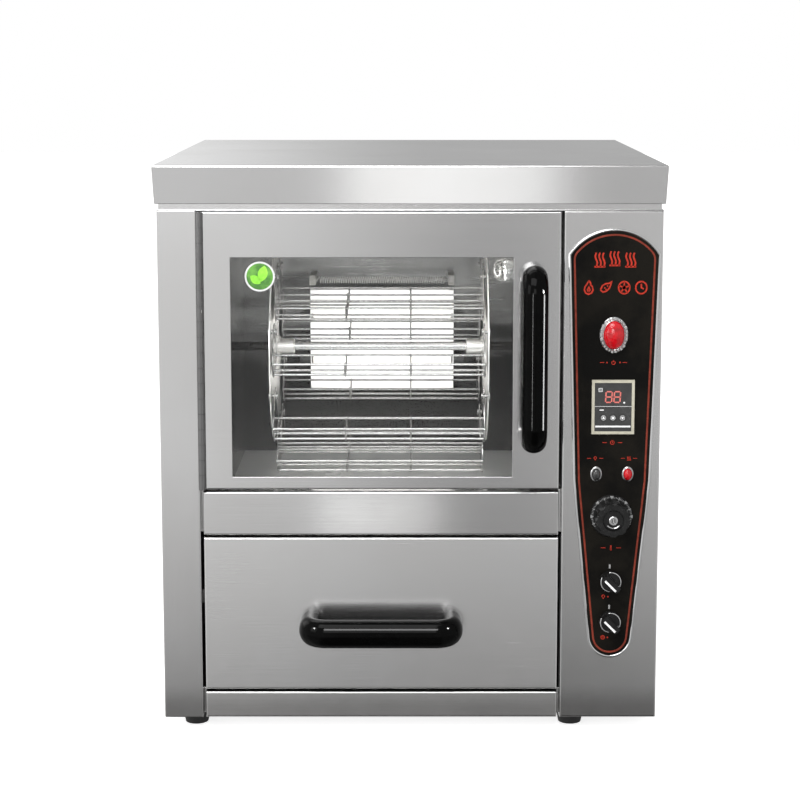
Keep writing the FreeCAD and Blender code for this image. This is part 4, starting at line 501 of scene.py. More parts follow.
def add_slab(bm, outline, back, front, chamfer=0.0):
    """A flat plate with a chamfered front edge from an outline in the front view."""
    rings = [(outline, back), (outline, front + chamfer)]
    if chamfer:
        rings.append((inset(outline, chamfer), front))
    loops = [[bm.verts.new((x, y, z)) for x, z in points] for points, y in rings]
    bridge(bm, loops)
    bm.faces.new(loops[-1])
    bm.faces.new(list(reversed(loops[0])))


def inset(points, distance):
    """The closed outline moved inwards by a distance; a negative distance moves it outwards."""
    count = len(points)
    area = sum(points[k][0] * points[(k + 1) % count][1] - points[(k + 1) % count][0] * points[k][1]
               for k in range(count))
    sign = 1 if area > 0 else -1
    moved = []
    for k in range(count):
        here = Vector(points[k])
        before = (here - Vector(points[k - 1])).normalized()
        after = (Vector(points[(k + 1) % count]) - here).normalized()
        normals = [Vector((-way.y, way.x)) * sign for way in (before, after)]
        middle = (normals[0] + normals[1]).normalized()
        moved.append(tuple(here + middle * (distance / max(middle.dot(normals[0]), 0.3))))
    return moved


BAND_SHARES = (0.0, 0.0, 0.12, 0.32, 0.5, 0.68, 0.88, 1.0, 1.0)
CROWN_SHARES = (0.0, 0.55, 0.82, 0.97, 1.0, 0.97, 0.82, 0.55, 0.0)


def add_band(bm, outer, inner, back, front):
    """A raised frame between two outlines, with a rounded crown."""
    rings = []
    for across, rise in zip(BAND_SHARES, CROWN_SHARES):
        rings.append([bm.verts.new((a[0] + (b[0] - a[0]) * across, back + (front - back) * rise,
                                    a[1] + (b[1] - a[1]) * across)) for a, b in zip(outer, inner)])
    bridge(bm, rings + rings[:1])


def add_strip(bm, points, width, back, front):
    """A printed or inlaid line of even width along points in the front view."""
    half = width / 2
    left, right = [], []
    for k, point in enumerate(points):
        here = Vector(point)
        before = (here - Vector(points[k - 1])).normalized() if k else None
        after = (Vector(points[k + 1]) - here).normalized() if k < len(points) - 1 else None
        ways = [way for way in (before, after) if way is not None]
        way = sum(ways, Vector((0, 0))).normalized()
        normal = Vector((-way.y, way.x))
        reach = half / max(normal.dot(Vector((-ways[0].y, ways[0].x))), 0.4)
        left.append(tuple(here + normal * reach))
        right.append(tuple(here - normal * reach))
    for k in range(len(points) - 1):
        add_slab(bm, [left[k], right[k], right[k + 1], left[k + 1]], back, front)


def circle(middle, across, up, radius, sides):
    """Points round a middle, in the plane of two directions."""
    return [middle + (across * math.cos(TURN * s / sides) + up * math.sin(TURN * s / sides)) * radius
            for s in range(sides)]


def add_tube(bm, points, radius, sides=10, closed=False):
    """A round wire along points in space."""
    points = [Vector(point) for point in points]
    count = len(points)
    rings = []
    across = None
    for k, point in enumerate(points):
        ahead = points[(k + 1) % count] if closed or k < count - 1 else point
        behind = points[k - 1] if closed or k else point
        way = (ahead - behind).normalized()
        if across is None:
            across = way.orthogonal().normalized()
        across = (across - way * across.dot(way)).normalized()
        rings.append([bm.verts.new(place) for place in circle(point, across, way.cross(across), radius, sides)])
    if closed:
        rings.append(rings[0])
    else:
        bm.faces.new(list(reversed(rings[0])))
        bm.faces.new(rings[-1])
    bridge(bm, rings)


def add_turned(bm, profile, centre, axis, segments=48):
    """A turned shape: pairs of distance along the axis and radius, closed where the radius is zero."""
    axis = Vector(axis).normalized()
    across = axis.orthogonal().normalized()
    rings = []
    for along, radius in profile:
        middle = Vector(centre) + axis * along
        places = circle(middle, across, axis.cross(across), radius, segments) if radius else [middle]
        rings.append([bm.verts.new(place) for place in places])
    bridge(bm, rings)


def in_metres(profile):
    return [(along * MM, radius * MM) for along, radius in profile]


def add_pierced(bm, outline, holes, back, front):
    """A thin sheet with round or other holes, filled between the outlines."""
    loops = []
    for points in [outline] + holes:
        verts = [bm.verts.new((x, front, z)) for x, z in points]
        loops.append([bm.edges.new((verts[k], verts[(k + 1) % len(verts)])) for k in range(len(verts))])
    filled = bmesh.ops.triangle_fill(bm, edges=[edge for loop in loops for edge in loop], use_beauty=True,
                                     normal=(0, -1, 0))
    faces = [item for item in filled["geom"] if isinstance(item, bmesh.types.BMFace)]
    grown = bmesh.ops.extrude_face_region(bm, geom=faces)
    moved = [item for item in grown["geom"] if isinstance(item, bmesh.types.BMVert)]
    bmesh.ops.translate(bm, verts=moved, vec=(0, back - front, 0))


def add_object(name, data, at=(0, 0, 0)):
    item = bpy.data.objects.new(name, data)
    item.location = at
    bpy.context.scene.collection.objects.link(item)
    return item


def mesh_object(bm, name, finish):
    """Turns gathered faces into an object with its finish."""
    mesh = bpy.data.meshes.new(name)
    bm.to_mesh(mesh)
    bm.free()
    mesh.materials.append(FINISH[finish])
    return add_object(name, mesh)


def finish_piece(bm, name, finish, body, angle=35):
    """The piece that gathered faces make: smooth up to an angle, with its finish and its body."""
    bmesh.ops.recalc_face_normals(bm, faces=bm.faces)
    item = mesh_object(bm, name, finish)
    for polygon in item.data.polygons:
        polygon.use_smooth = True
    item.data.set_sharp_from_angle(angle=math.radians(angle))
    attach(item, body)
    return item


# Control plate

PLATE_LOW, PLATE_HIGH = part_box("control_overlay")
PLATE_X = joint_at["thermostat_turn"].x
PLATE_FRONT = PLATE_LOW.y
FOOT_RADIUS = 23.5 * MM
KNEE_HALF_WIDTH = 42.0 * MM
KNEE_RISE = 208.0 * MM
SHOULDER_DROP = 27.0 * MM
TRIM_WIDTH = 3.0 * MM
TRIM_REACH = 0.9 * MM
TRIM_LAP = 0.2 * MM
LINE_INSET = 3.0 * MM
LINE_WIDTH = 2.1 * MM
SHOULDER_ROUND = 5.0 * MM
PRINT = 0.25 * MM


def plate_outline():
    """The plate's outline, run anticlockwise from the right end of its round foot."""
    half = (PLATE_HIGH.x - PLATE_LOW.x) / 2
    foot_z = PLATE_LOW.z + FOOT_RADIUS
    knee_z = PLATE_LOW.z + KNEE_RISE
    shoulder_z = PLATE_HIGH.z - SHOULDER_DROP
    lean = math.degrees(math.atan2(KNEE_HALF_WIDTH - FOOT_RADIUS, knee_z - foot_z))
    radius = (half ** 2 + SHOULDER_DROP ** 2) / (2 * SHOULDER_DROP)
    sweep = math.degrees(math.asin(half / radius))
    points = []

    def run(start, end, count):
        for k in range(count):
            points.append(tuple(Vector(start).lerp(Vector(end), k / count)))

    foot = arc(PLATE_X, foot_z, FOOT_RADIUS, 180 + lean, 360 - lean, 24)
    points.extend(foot[:-1])
    run(foot[-1], (PLATE_X + KNEE_HALF_WIDTH, knee_z), 8)
    run((PLATE_X + KNEE_HALF_WIDTH, knee_z), (PLATE_X + half, shoulder_z), 8)
    head = arc(PLATE_X, PLATE_HIGH.z - radius, radius, 90 - sweep, 90 + sweep, 24)
    points.extend(head[:-1])
    run(head[-1], (PLATE_X - KNEE_HALF_WIDTH, knee_z), 8)
    run((PLATE_X - KNEE_HALF_WIDTH, knee_z), foot[0], 8)
    return points


def rounded_corners(points, wanted, radius, count=5):
    """The outline with the corners at the wanted places rounded off."""
    result = []
    for k, point in enumerate(points):
        here = Vector(point)
        near = min((here - Vector(place)).length for place in wanted)
        if near < radius * 0.2:
            start, end = (here + (Vector(points[n % len(points)]) - here).normalized() * radius for n in (k - 1, k + 1))
            for t in (step / count for step in range(count + 1)):
                result.append(tuple(start * (1 - t) ** 2 + here * 2 * t * (1 - t) + end * t ** 2))
        elif near >= radius:
            result.append(point)
    return result


def make_plate_trim():
    outline = plate_outline()
    bm = bmesh.new()
    add_band(bm, inset(outline, -TRIM_WIDTH), inset(outline, TRIM_LAP), PLATE_HIGH.y, PLATE_FRONT - TRIM_REACH)
    finish_piece(bm, "plate_trim", "trim_metal", "casing", 50)
    bm = bmesh.new()
    outer = inset(outline, LINE_INSET)
    half = (PLATE_HIGH.x - PLATE_LOW.x) / 2
    shoulders = []
    for side in (1, -1):
        corner = Vector((PLATE_X + side * half, PLATE_HIGH.z - SHOULDER_DROP))
        shoulders.append(min(outer, key=lambda place: (Vector(place) - corner).length))
    outer = rounded_corners(outer, shoulders, SHOULDER_ROUND)
    add_band(bm, outer, inset(outer, LINE_WIDTH), PLATE_FRONT, PLATE_FRONT - PRINT)
    finish_piece(bm, "plate_red_line", "line_red", "casing", 50)


# Pictograms, drawn as lines in a box of one by one with the origin in its middle

def wave(x, low, high, swing, count=14):
    return [(x + swing * math.sin(TURN * k / count), low + (high - low) * k / count) for k in range(count + 1)]


def pictograms():
    """Plain signs: rising heat, flame, root, turning wheel, clock, power, thermometer and lamp."""
    flame = [(0.02, 0.5), (-0.14, 0.26), (-0.30, 0.04), (-0.34, -0.18), (-0.22, -0.40), (0.0, -0.48), (0.24, -0.38),
             (0.34, -0.16), (0.28, 0.08), (0.16, 0.18), (0.14, 0.34), (0.02, 0.5)]
    root = [(-0.46, -0.16), (-0.30, 0.14), (-0.05, 0.28), (0.20, 0.30), (0.40, 0.40), (0.34, 0.16), (0.22, -0.08),
            (0.0, -0.26), (-0.26, -0.32), (-0.46, -0.16)]
    spokes = [[(0.0, 0.0), (0.42 * math.cos(a), 0.42 * math.sin(a))] for a in (TURN * k / 5 + 0.3 for k in range(5))]
    return {
        "heat": [wave(x, -0.5, 0.5, 0.09) for x in (-0.34, 0.0, 0.34)] + [[(-0.5, -0.5), (0.5, -0.5)]],
        "flame": [flame, [(0.0, -0.34), (-0.1, -0.16), (0.02, 0.02), (0.1, -0.16), (0.0, -0.34)]],
        "root": [root, [(-0.16, -0.04), (-0.06, 0.0)], [(0.06, 0.1), (0.15, 0.12)], [(-0.05, -0.16), (0.05, -0.12)]],
        "wheel": [arc(0, 0, 0.44, 0, 360, 20), arc(0, 0, 0.1, 0, 360, 8)] + spokes,
        "clock": [arc(0, 0, 0.44, 0, 360, 20), [(0, 0.28), (0, 0), (0.2, -0.1)]],
        "power": [arc(0, -0.04, 0.4, 125, 415, 16), [(0, 0.5), (0, 0.06)]],
        "thermometer": [[(-0.1, -0.2), (-0.1, 0.46), (0.1, 0.46), (0.1, -0.2)], arc(0, -0.32, 0.17, 0, 360, 10)],
        "lamp": [arc(0, 0.1, 0.32, -60, 240, 14), [(-0.14, -0.3), (0.14, -0.3)], [(-0.1, -0.44), (0.1, -0.44)]],
        "dash": [[(-0.5, 0.0), (0.5, 0.0)]],
        "dot": [arc(0, 0, 0.12, 0, 360, 8)],
    }


SIGNS = pictograms()


def draw_sign(bm, sign, x, z, wide, tall, stroke, back, front):
    for line in SIGNS[sign]:
        add_strip(bm, [(x + u * wide, z + v * tall) for u, v in line], stroke, back, front)


TITLE_ROWS = (
    (559.0, 16.0, 12.5, 1.9, (("heat", -17.0, -1.5), ("heat", 0.0, 0.0), ("heat", 18.0, -1.5))),
    (525.5, 16.0, 14.5, 1.7, (("flame", -29.5, 0.0), ("root", -9.5, 0.0), ("wheel", 11.0, 0.0), ("clock", 30.5, 0.0))),
)
SMALL_ROWS = (
    (439.0, 5.0, 0.7, (("dash", -13.0), ("dot", -7.5), ("power", 0.0), ("dot", 7.5), ("dash", 13.0))),
    (345.5, 5.0, 0.7, (("dash", -9.0), ("clock", 0.0), ("dash", 9.0))),
    (327.0, 4.4, 0.6, (("dash", -26.5), ("lamp", -19.5), ("dash", -12.5), ("dash", 12.5), ("heat", 19.5),
                       ("dash", 26.5))),
    (221.0, 5.4, 0.7, (("dash", -9.0), ("thermometer", 0.0), ("dash", 9.0))),
    (162.5, 5.0, 0.7, (("lamp", -8.0), ("dot", -2.5))),
    (113.5, 5.0, 0.7, (("wheel", -8.0), ("dot", -2.5))),
)


def make_plate_print():
    bm = bmesh.new()
    back, front = PLATE_FRONT, PLATE_FRONT - PRINT
    for z, tall, wide, stroke, signs in TITLE_ROWS:
        for sign, x, drop in signs:
            draw_sign(bm, sign, PLATE_X + x * MM, (z + drop) * MM, wide * MM, tall * MM, stroke * MM, back, front)
    for z, side, stroke, signs in SMALL_ROWS:
        for sign, x in signs:
            draw_sign(bm, sign, PLATE_X + x * MM, z * MM, side * MM, side * MM, stroke * MM, back, front)
    finish_piece(bm, "plate_signs", "print_red", "casing")


# Timer

TIMER_LOW, TIMER_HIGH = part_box("timer_housing")
BUTTONS = {side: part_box("timer_button_" + side) for side in ("left", "middle", "right")}
TIMER_RIM = 3.2 * MM
FACE_DEPTH = 1.0 * MM
FACE_SHEET = 0.25 * MM
FACE_GAP = 0.1 * MM
BUTTON_GAP = 0.35 * MM
TIMER_FACE = TIMER_LOW.y + FACE_DEPTH
TIMER_FRONT = TIMER_FACE - FACE_SHEET
TIMER_PRINT = TIMER_FRONT - PRINT * 0.6

# Places and widths on the timer's face, in millimetres from its middle
TAG_SIDES, TAG_ROWS, TAG_ENDS, TAG_STROKE = (-16.6, -12.6), (18.1, 20.0, 21.9), (17.8, 22.2), 0.6
POINT_AT, POINT_RADIUS = (12.7, 5.2), 1.1
DIGITS_AT, DIGIT_RISE, DIGIT_WIDE, DIGIT_TALL, DIGIT_LEAN, DIGIT_STROKE = (-5.0, 4.6), 11.8, 7.0, 6.2, 0.06, 1.5
# The seven strokes of a digit, in shares of its width and of half its height
SEGMENTS = (((-0.4, 1.0), (0.4, 1.0)), ((-0.4, 0.0), (0.4, 0.0)), ((-0.4, -1.0), (0.4, -1.0)),
            ((-0.5, 0.9), (-0.5, 0.1)), ((0.5, 0.9), (0.5, 0.1)), ((-0.5, -0.1), (-0.5, -0.9)),
            ((0.5, -0.1), (0.5, -0.9)))
GLYPHS = {"left": [(-1.6, -0.9), (0.0, 1.7), (1.6, -0.9)],
          "middle": [(-1.4, -1.2), (-1.4, 1.2), (1.4, 1.2), (1.4, -1.2)],
          "right": [(-1.6, 0.9), (0.0, -1.7), (1.6, 0.9)]}
GLYPH_RISE, RING_INSET, RING_WIDTH, RING_SINK, RING_RISE = 0.15 * MM, 0.45 * MM, 0.3 * MM, 0.02 * MM, 0.1 * MM


def make_timer():
    middle = (TIMER_LOW + TIMER_HIGH) / 2
    wide, tall = (((TIMER_HIGH[k] - TIMER_LOW[k]) / 2 - TIMER_RIM - FACE_GAP) / MM for k in (0, 2))

    def at(u, v):
        return middle.x + u * MM, middle.z + v * MM

    def draw(bm, places, width):
        add_strip(bm, [at(*place) for place in places], width * MM, TIMER_FRONT, TIMER_PRINT)

    holes = []
    for low, high in BUTTONS.values():
        centre = (low + high) / 2
        holes.append(arc(centre.x, centre.z, (high.x - low.x) / 2 + BUTTON_GAP, 0, 360, 28)[:-1])
    bm = bmesh.new()
    corners = [at(-wide, -tall), at(wide, -tall), at(wide, tall), at(-wide, tall)]
    add_pierced(bm, corners, holes, TIMER_FACE, TIMER_FRONT)
    finish_piece(bm, "timer_face", "display_black", "casing")

    bm = bmesh.new()
    lines = [((-wide, 0.8), (wide, 0.8), 0.35), ((1 - wide, -22.6), (wide - 1, -22.6), 1.9),
             ((-15.5, -3.4), (-10.5, -3.4), 1.2)]
    lines += [((TAG_SIDES[0], row), (TAG_SIDES[1], row), TAG_STROKE) for row in TAG_ROWS]
    lines += [((side, TAG_ENDS[0]), (side, TAG_ENDS[1]), TAG_STROKE) for side in TAG_SIDES]
    for start, end, width in lines:
        draw(bm, (start, end), width)
    add_slab(bm, arc(*at(*POINT_AT), POINT_RADIUS * MM, 0, 360, 16)[:-1], TIMER_FRONT, TIMER_PRINT)
    finish_piece(bm, "timer_marks", "print_white_and_painted_highlight", "casing")

    bm = bmesh.new()
    for digit in DIGITS_AT:
        for segment in SEGMENTS:
            draw(bm, [(digit + u * DIGIT_WIDE + v * DIGIT_TALL * DIGIT_LEAN, DIGIT_RISE + v * DIGIT_TALL)
                      for u, v in segment], DIGIT_STROKE)
    finish_piece(bm, "timer_digits", "digit_red", "casing")

    for side, points in GLYPHS.items():
        low, high = BUTTONS[side]
        centre = (low + high) / 2
        bm = bmesh.new()
        add_slab(bm, [(centre.x + u * MM, centre.z + v * MM) for u, v in points], low.y, low.y - GLYPH_RISE)
        ring = arc(centre.x, centre.z, (high.x - low.x) / 2 - RING_INSET, 0, 360, 24)[:-1]
        add_band(bm, ring, inset(ring, RING_WIDTH), low.y + RING_SINK, low.y - RING_RISE)
        finish_piece(bm, "timer_glyph_" + side, "print_white_and_painted_highlight", "button_" + side)


# Dial and switches

KNOB_GAP = 0.6 * MM
SKIRT_FRONT = PLATE_FRONT - KNOB_GAP - 3.0 * MM
GRIP_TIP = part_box("thermostat_knob")[0].y
SPINDLE_RADIUS = 3.0 * MM
SPINDLE_NUT = ((-3.6, 0), (-3.6, 5.0), (0.0, 5.0), (0.4, 4.5), (0.4, 3.4), (-0.4, 3.3), (-0.4, 0))
TICK_STEP, TICKS_ASIDE, LONG_EVERY, WEDGE_EVERY = 4.5, 27, 5, 10
LONG_TICK, SHORT_TICK = (20.9, 24.0, 0.9), (21.6, 23.6, 0.4)
WEDGE_POINT, WEDGE_FOOT, WEDGE_HALF = 20.8, 24.3, 2.0
TICK_SINK, TICK_RISE, WEDGE_RISE = 0.1 * MM, 0.12 * MM, 0.14 * MM
SPINDLE_SINK, SPINDLE_RISE, SPINDLE_CHAMFER = 1.0 * MM, 0.2 * MM, 0.25 * MM
SPINDLE_ARC, HOOK_ARC = (-60, 240), (218, 322)
HOOK_RADIUS, HOOK_WIRE = 8.6 * MM, 0.95 * MM
SLOT_ASIDE, SLOT_HALF, SLOT_WIDTH, SLOT_RISE = 1.5 * MM, 2.2 * MM, 0.9 * MM, 0.25 * MM


def make_dial():
    centre = joint_at["thermostat_turn"]
    middle = Vector((centre.x, centre.z))
    bm = bmesh.new()
    for k in range(-TICKS_ASIDE, TICKS_ASIDE + 1):
        way, side = directions(90 - k * TICK_STEP)
        inner, outer, width = SHORT_TICK if k % LONG_EVERY else LONG_TICK
        ends = [tuple(middle + way * reach * MM) for reach in (inner, outer)]
        add_strip(bm, ends, width * MM, SKIRT_FRONT + TICK_SINK, SKIRT_FRONT - TICK_RISE)
        if k % WEDGE_EVERY == 0:
            places = ((WEDGE_POINT, 0), (WEDGE_FOOT, WEDGE_HALF), (WEDGE_FOOT, -WEDGE_HALF))
            corners = [tuple(middle + way * reach * MM + side * aside * MM) for reach, aside in places]
            add_slab(bm, corners, SKIRT_FRONT + TICK_SINK, SKIRT_FRONT - WEDGE_RISE)
    finish_piece(bm, "dial_ticks", "print_grey", "thermostat_dial")

    bm = bmesh.new()
    add_turned(bm, in_metres(SPINDLE_NUT), (centre.x, GRIP_TIP, centre.z), (0, -1, 0), 40)
    add_slab(bm, arc(centre.x, centre.z, SPINDLE_RADIUS, *SPINDLE_ARC, 24), GRIP_TIP + SPINDLE_SINK,
             GRIP_TIP - SPINDLE_RISE, SPINDLE_CHAMFER)
    hook = arc(centre.x, centre.z, HOOK_RADIUS, *HOOK_ARC, 24)
    add_tube(bm, [(x, GRIP_TIP + SPINDLE_RISE, z) for x, z in hook], HOOK_WIRE, 8)
    finish_piece(bm, "dial_shaft_end", "trim_metal", "thermostat_dial")

    bm = bmesh.new()
    for x in (centre.x - SLOT_ASIDE, centre.x + SLOT_ASIDE):
        ends = [(x, centre.z - SLOT_HALF), (x, centre.z + SLOT_HALF)]
        add_strip(bm, ends, SLOT_WIDTH, GRIP_TIP, GRIP_TIP - SLOT_RISE)
    finish_piece(bm, "dial_shaft_slot", "knob_black", "thermostat_dial")


SWITCH_RIM = PLATE_FRONT - KNOB_GAP - 6.1 * MM
SWITCH_TIP = PLATE_FRONT - KNOB_GAP - 17.0 * MM
RING_RADIUS, RING_WIRE = 11.3 * MM, 0.95 * MM
RING_ARCS = ((-48, 100), (152, 262))
GRIP_DEGREES = -45.0
# a painted highlight along the lower edge of each switch's grip: its offset, its ends and its width
GRIP_HIGHLIGHT_ASIDE, GRIP_HIGHLIGHT_ENDS, GRIP_HIGHLIGHT_WIDTH = 2.4 * MM, (-8.5 * MM, 9.0 * MM), 2.3 * MM
INDEX_RISE, INDEX_HALF, INDEX_ASIDE, INDEX_WIDTH = 17.2 * MM, 2.4 * MM, -1.0 * MM, 2.0 * MM


def make_switches():
    bm_marks = bmesh.new()
    along, across = directions(GRIP_DEGREES)
    for name in ("upper", "lower"):
        centre = joint_at[name + "_switch_turn"]
        bm = bmesh.new()
        for start, end in RING_ARCS:
            rim = [(x, SWITCH_RIM, z) for x, z in arc(centre.x, centre.z, RING_RADIUS, start, end, 30)]
            add_tube(bm, rim, RING_WIRE, 10)
        finish_piece(bm, name + "_switch_ring", "trim_metal", name + "_switch", 60)
        # painted highlight: a white line along the lower edge of the grip
        bm = bmesh.new()
        start = Vector((centre.x, centre.z)) - across * GRIP_HIGHLIGHT_ASIDE
        add_strip(bm, [tuple(start + along * reach) for reach in GRIP_HIGHLIGHT_ENDS], GRIP_HIGHLIGHT_WIDTH, SWITCH_TIP + 0.1 * MM,
                  SWITCH_TIP - 0.3 * MM)
        finish_piece(bm, name + "_switch_grip_highlight", "print_white_and_painted_highlight", name + "_switch")
        x, z = centre.x + INDEX_ASIDE, centre.z + INDEX_RISE
        add_strip(bm_marks, [(x, z - INDEX_HALF), (x, z + INDEX_HALF)], INDEX_WIDTH, PLATE_FRONT, PLATE_FRONT - PRINT)
    finish_piece(bm_marks, "switch_index_marks", "print_grey", "casing")


# Signal lamps: a clear lens over the left one, and the crimped inner ring of the big one

LENS_X, LENS_Z = PLATE_X - 18.25 * MM, 308.5 * MM
LENS_HALVES, LENS_REACH = (5.45 * MM, 7.2 * MM), 6.2 * MM
LENS_STEPS, LENS_SIDES = 10, 36
MAIN_LAMP_Z = 471.0 * MM
CRIMPS = 26
CRIMP_SHARE, CRIMP_TAPER_SHARE = 0.42, 0.8
CRIMP_INNER, CRIMP_OUTER, INNER_STEP, OUTER_STEP = (12.9, 17.5), (15.4, 19.9), 0.25, 0.5
CRIMP_RISE, RISE_STEP, CRIMP_CHAMFER = 3.6, 0.5, 0.4 * MM


def make_left_lens():
    bm = bmesh.new()
    rings = []
    for k in range(LENS_STEPS):
        angle = math.pi / 2 * k / LENS_STEPS
        wide, tall = (half * math.cos(angle) for half in LENS_HALVES)
        rings.append([bm.verts.new((LENS_X + wide * math.cos(TURN * s / LENS_SIDES),
                                    PLATE_FRONT - LENS_REACH * math.sin(angle),
                                    LENS_Z + tall * math.sin(TURN * s / LENS_SIDES))) for s in range(LENS_SIDES)])
    bridge(bm, rings + [[bm.verts.new((LENS_X, PLATE_FRONT - LENS_REACH, LENS_Z))]])
    finish_piece(bm, "left_lamp_lens", "lamp_clear", "casing")


def make_main_crimps():
    """Uneven teeth pressed inwards all round the big lens."""
    bm = bmesh.new()
    half_tooth = TURN / CRIMPS * CRIMP_SHARE
    for k in range(CRIMPS):
        turn = TURN * k / CRIMPS
        inner = [half + INNER_STEP * (k % 2) for half in CRIMP_INNER]
        outer = [half + OUTER_STEP * (k * often % 3) for half, often in zip(CRIMP_OUTER, (7, 5))]
        corners = []
        for half, side in ((inner, -1), (outer, -CRIMP_TAPER_SHARE), (outer, CRIMP_TAPER_SHARE), (inner, 1)):
            angle = turn + half_tooth * side
            corners.append((PLATE_X + half[0] * MM * math.cos(angle), MAIN_LAMP_Z + half[1] * MM * math.sin(angle)))
        add_slab(bm, corners, PLATE_FRONT - CRIMP_CHAMFER, PLATE_FRONT - (CRIMP_RISE + RISE_STEP * (k % 3)) * MM,
                 CRIMP_CHAMFER)
    finish_piece(bm, "main_lamp_crimps", "trim_metal", "casing", 20)


# Painted shade: black strips in the gaps beside the door and the drawer

GAP_SHADE_THICKNESS = 0.8 * MM
GAP_SHADE_INSET = 3.0 * MM
GAP_SHADE_DEPTH = 27.0 * MM
GAP_SHADE_SHORT = 1.0 * MM
GAP_SHADE_CHAMFER = 0.3 * MM


def make_gap_shade_strips():
    """Flat black strips on the control column's wall, where the door and the drawer close beside it: painted shade in
    the gaps.
    """
    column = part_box("control_column")[0]
    front = column.y + GAP_SHADE_INSET
    on_wall, free = column.x, column.x - GAP_SHADE_THICKNESS
    bm = bmesh.new()
    for part in ("door_shell", "drawer_front"):
        low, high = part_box(part)
        foot, head = low.z + GAP_SHADE_SHORT, high.z - GAP_SHADE_SHORT
        face = [(free, foot), (on_wall, foot), (on_wall, head), (free, head)]
        add_slab(bm, face, front + GAP_SHADE_DEPTH, front, GAP_SHADE_CHAMFER)
    finish_piece(bm, "column_gap_shade_strips", "seal_rubber_and_gap_shade", "casing")


# Sticker on the glass; its leaves and its layers in millimetres, from its middle and out from the glass

STICKER_X, STICKER_Z, STICKER_RADIUS, STICKER_RIM = -171.6 * MM, 537.7 * MM, 17.2 * MM, 2.0 * MM
LEAVES = ((3.4, 3.2, 5.6, 9.6, -14.0), (-5.0, -3.6, 4.6, 7.4, 52.0))
LEAF_STEPS, LEAF_CURVE = 10, 0.8
RIM_LAYER, FIELD_LAYER, MOTIF_LAYER = (0.02, 0.35, 0.15), (0.3, 0.55, 0.1), (0.5, 0.7, 0.05)


def make_sticker():
    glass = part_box("window_glass")[0].y
    outline = arc(STICKER_X, STICKER_Z, STICKER_RADIUS, 0, 360, 64)[:-1]
    leaves = []
    for x, z, wide, tall, lean in LEAVES:
        across, up = directions(lean)
        leaf = []
        for side in (1, -1):
            for k in range(LEAF_STEPS):
                along = -1 + 2 * k / LEAF_STEPS
                bulge = side * wide * math.cos(math.pi / 2 * along) ** LEAF_CURVE
                place = Vector((x, z)) + across * bulge + up * along * tall * side
                leaf.append((STICKER_X + place.x * MM, STICKER_Z + place.y * MM))
        leaves.append(leaf)
    for name, finish, outlines, (back, front, chamfer) in (
            ("sticker_rim", "sticker_white", [outline], RIM_LAYER),
            ("sticker_field", "sticker_green", [inset(outline, STICKER_RIM)], FIELD_LAYER),
            ("sticker_motif", "sticker_light", leaves, MOTIF_LAYER)):
        bm = bmesh.new()
        for points in outlines:
            add_slab(bm, points, glass - back * MM, glass - front * MM, chamfer * MM)
        finish_piece(bm, name, finish, "door")


# Baskets: rolled edges, rod ends and wrapped joints

# The corners and the rods of an end plate, in millimetres from the basket's pivot
PLATE_CORNERS = ((-19.0, -52.0), (19.0, -52.0), (38.0, -34.0), (6.5, 9.0), (-6.5, 9.0), (-38.0, -34.0))
RODS = ((-35.4, -34.0), (35.4, -34.0), (-16.4, -49.4), (16.4, -49.4))
PLATE_THICKNESS = 1.2 * MM
EDGE_BEAD = 0.85 * MM
EDGE_SHARES = (0.04, 0.5, 0.96)
CROSS_SHARES = (0.34, 0.65)
WRAP_RADIUS, WRAP_WIRE, WRAP_SIDES = 2.0 * MM, 0.8 * MM, 14
ROD_END = ((-0.1, 2.1), (0.5, 2.0), (1.0, 1.2), (1.1, 0))


def make_basket_trim(number):
    name = "basket_%d" % number
    low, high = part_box(name)
    pivot = joint_at[name + "_swing"]
    y, z = pivot.y, pivot.z
    corners = in_metres(PLATE_CORNERS)
    edge = [Vector(start).lerp(Vector(end), share) for start, end in zip(corners, corners[1:] + corners[:1])
            for share in EDGE_SHARES]
    bm = bmesh.new()
    for x, out in ((low.x, -1), (high.x, 1)):
        middle = x - out * PLATE_THICKNESS / 2
        add_tube(bm, [(middle, y + point.x, z + point.y) for point in edge], EDGE_BEAD, 8, True)
        for dy, dz in in_metres(RODS):
            add_turned(bm, in_metres(ROD_END), (x, y + dy, z + dz), (out, 0, 0), 16)
    for share in CROSS_SHARES:
        for dy, dz in in_metres(RODS):
            middle = Vector((low.x + (high.x - low.x) * share, y + dy, z + dz))
            wrap = circle(middle, Vector((0, 1, 0)), Vector((0, 0, 1)), WRAP_RADIUS, WRAP_SIDES)
            add_tube(bm, wrap, WRAP_WIRE, 8, True)
    finish_piece(bm, name + "_trim", "bright_wire", "hanging_" + name, 40)


# Square flanges with four bolts, clamped against the inner face of each disc, and a collar further in

DISC_THICKNESS = 1.5 * MM
FLANGE = ((0, 10.2), (0, 17.5), (2.2, 17.0), (2.6, 16.4), (2.6, 10.2))
FLANGE_FACE = 2.6 * MM
FLANGE_BOLT = ((0, 2.6), (2.0, 2.6), (2.4, 2.1), (2.4, 0))
BOLT_CIRCLE = 12.24 * MM
COLLAR = ((22.0, 5.6), (22.0, 9.0), (22.9, 8.4), (22.9, 5.6))


def make_hub_plates():
    low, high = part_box("wheel_discs")
    at = joint_at["wheel_spin"]
    bm = bmesh.new()
    for inner, way in ((low.x + DISC_THICKNESS, 1), (high.x - DISC_THICKNESS, -1)):
        add_turned(bm, in_metres(FLANGE), (inner, at.y, at.z), (way, 0, 0), 4)
        add_turned(bm, in_metres(COLLAR), (inner, at.y, at.z), (way, 0, 0), 32)
        for y, z in arc(at.y, at.z, BOLT_CIRCLE, 45, 315, 3):
            add_turned(bm, in_metres(FLANGE_BOLT), (inner + way * FLANGE_FACE, y, z), (way, 0, 0), 6)
    finish_piece(bm, "hub_flanges", "disc_sheet", "wheel", 30)


# Open heater coil: one wire wound between its two holders, a straight lead at each end

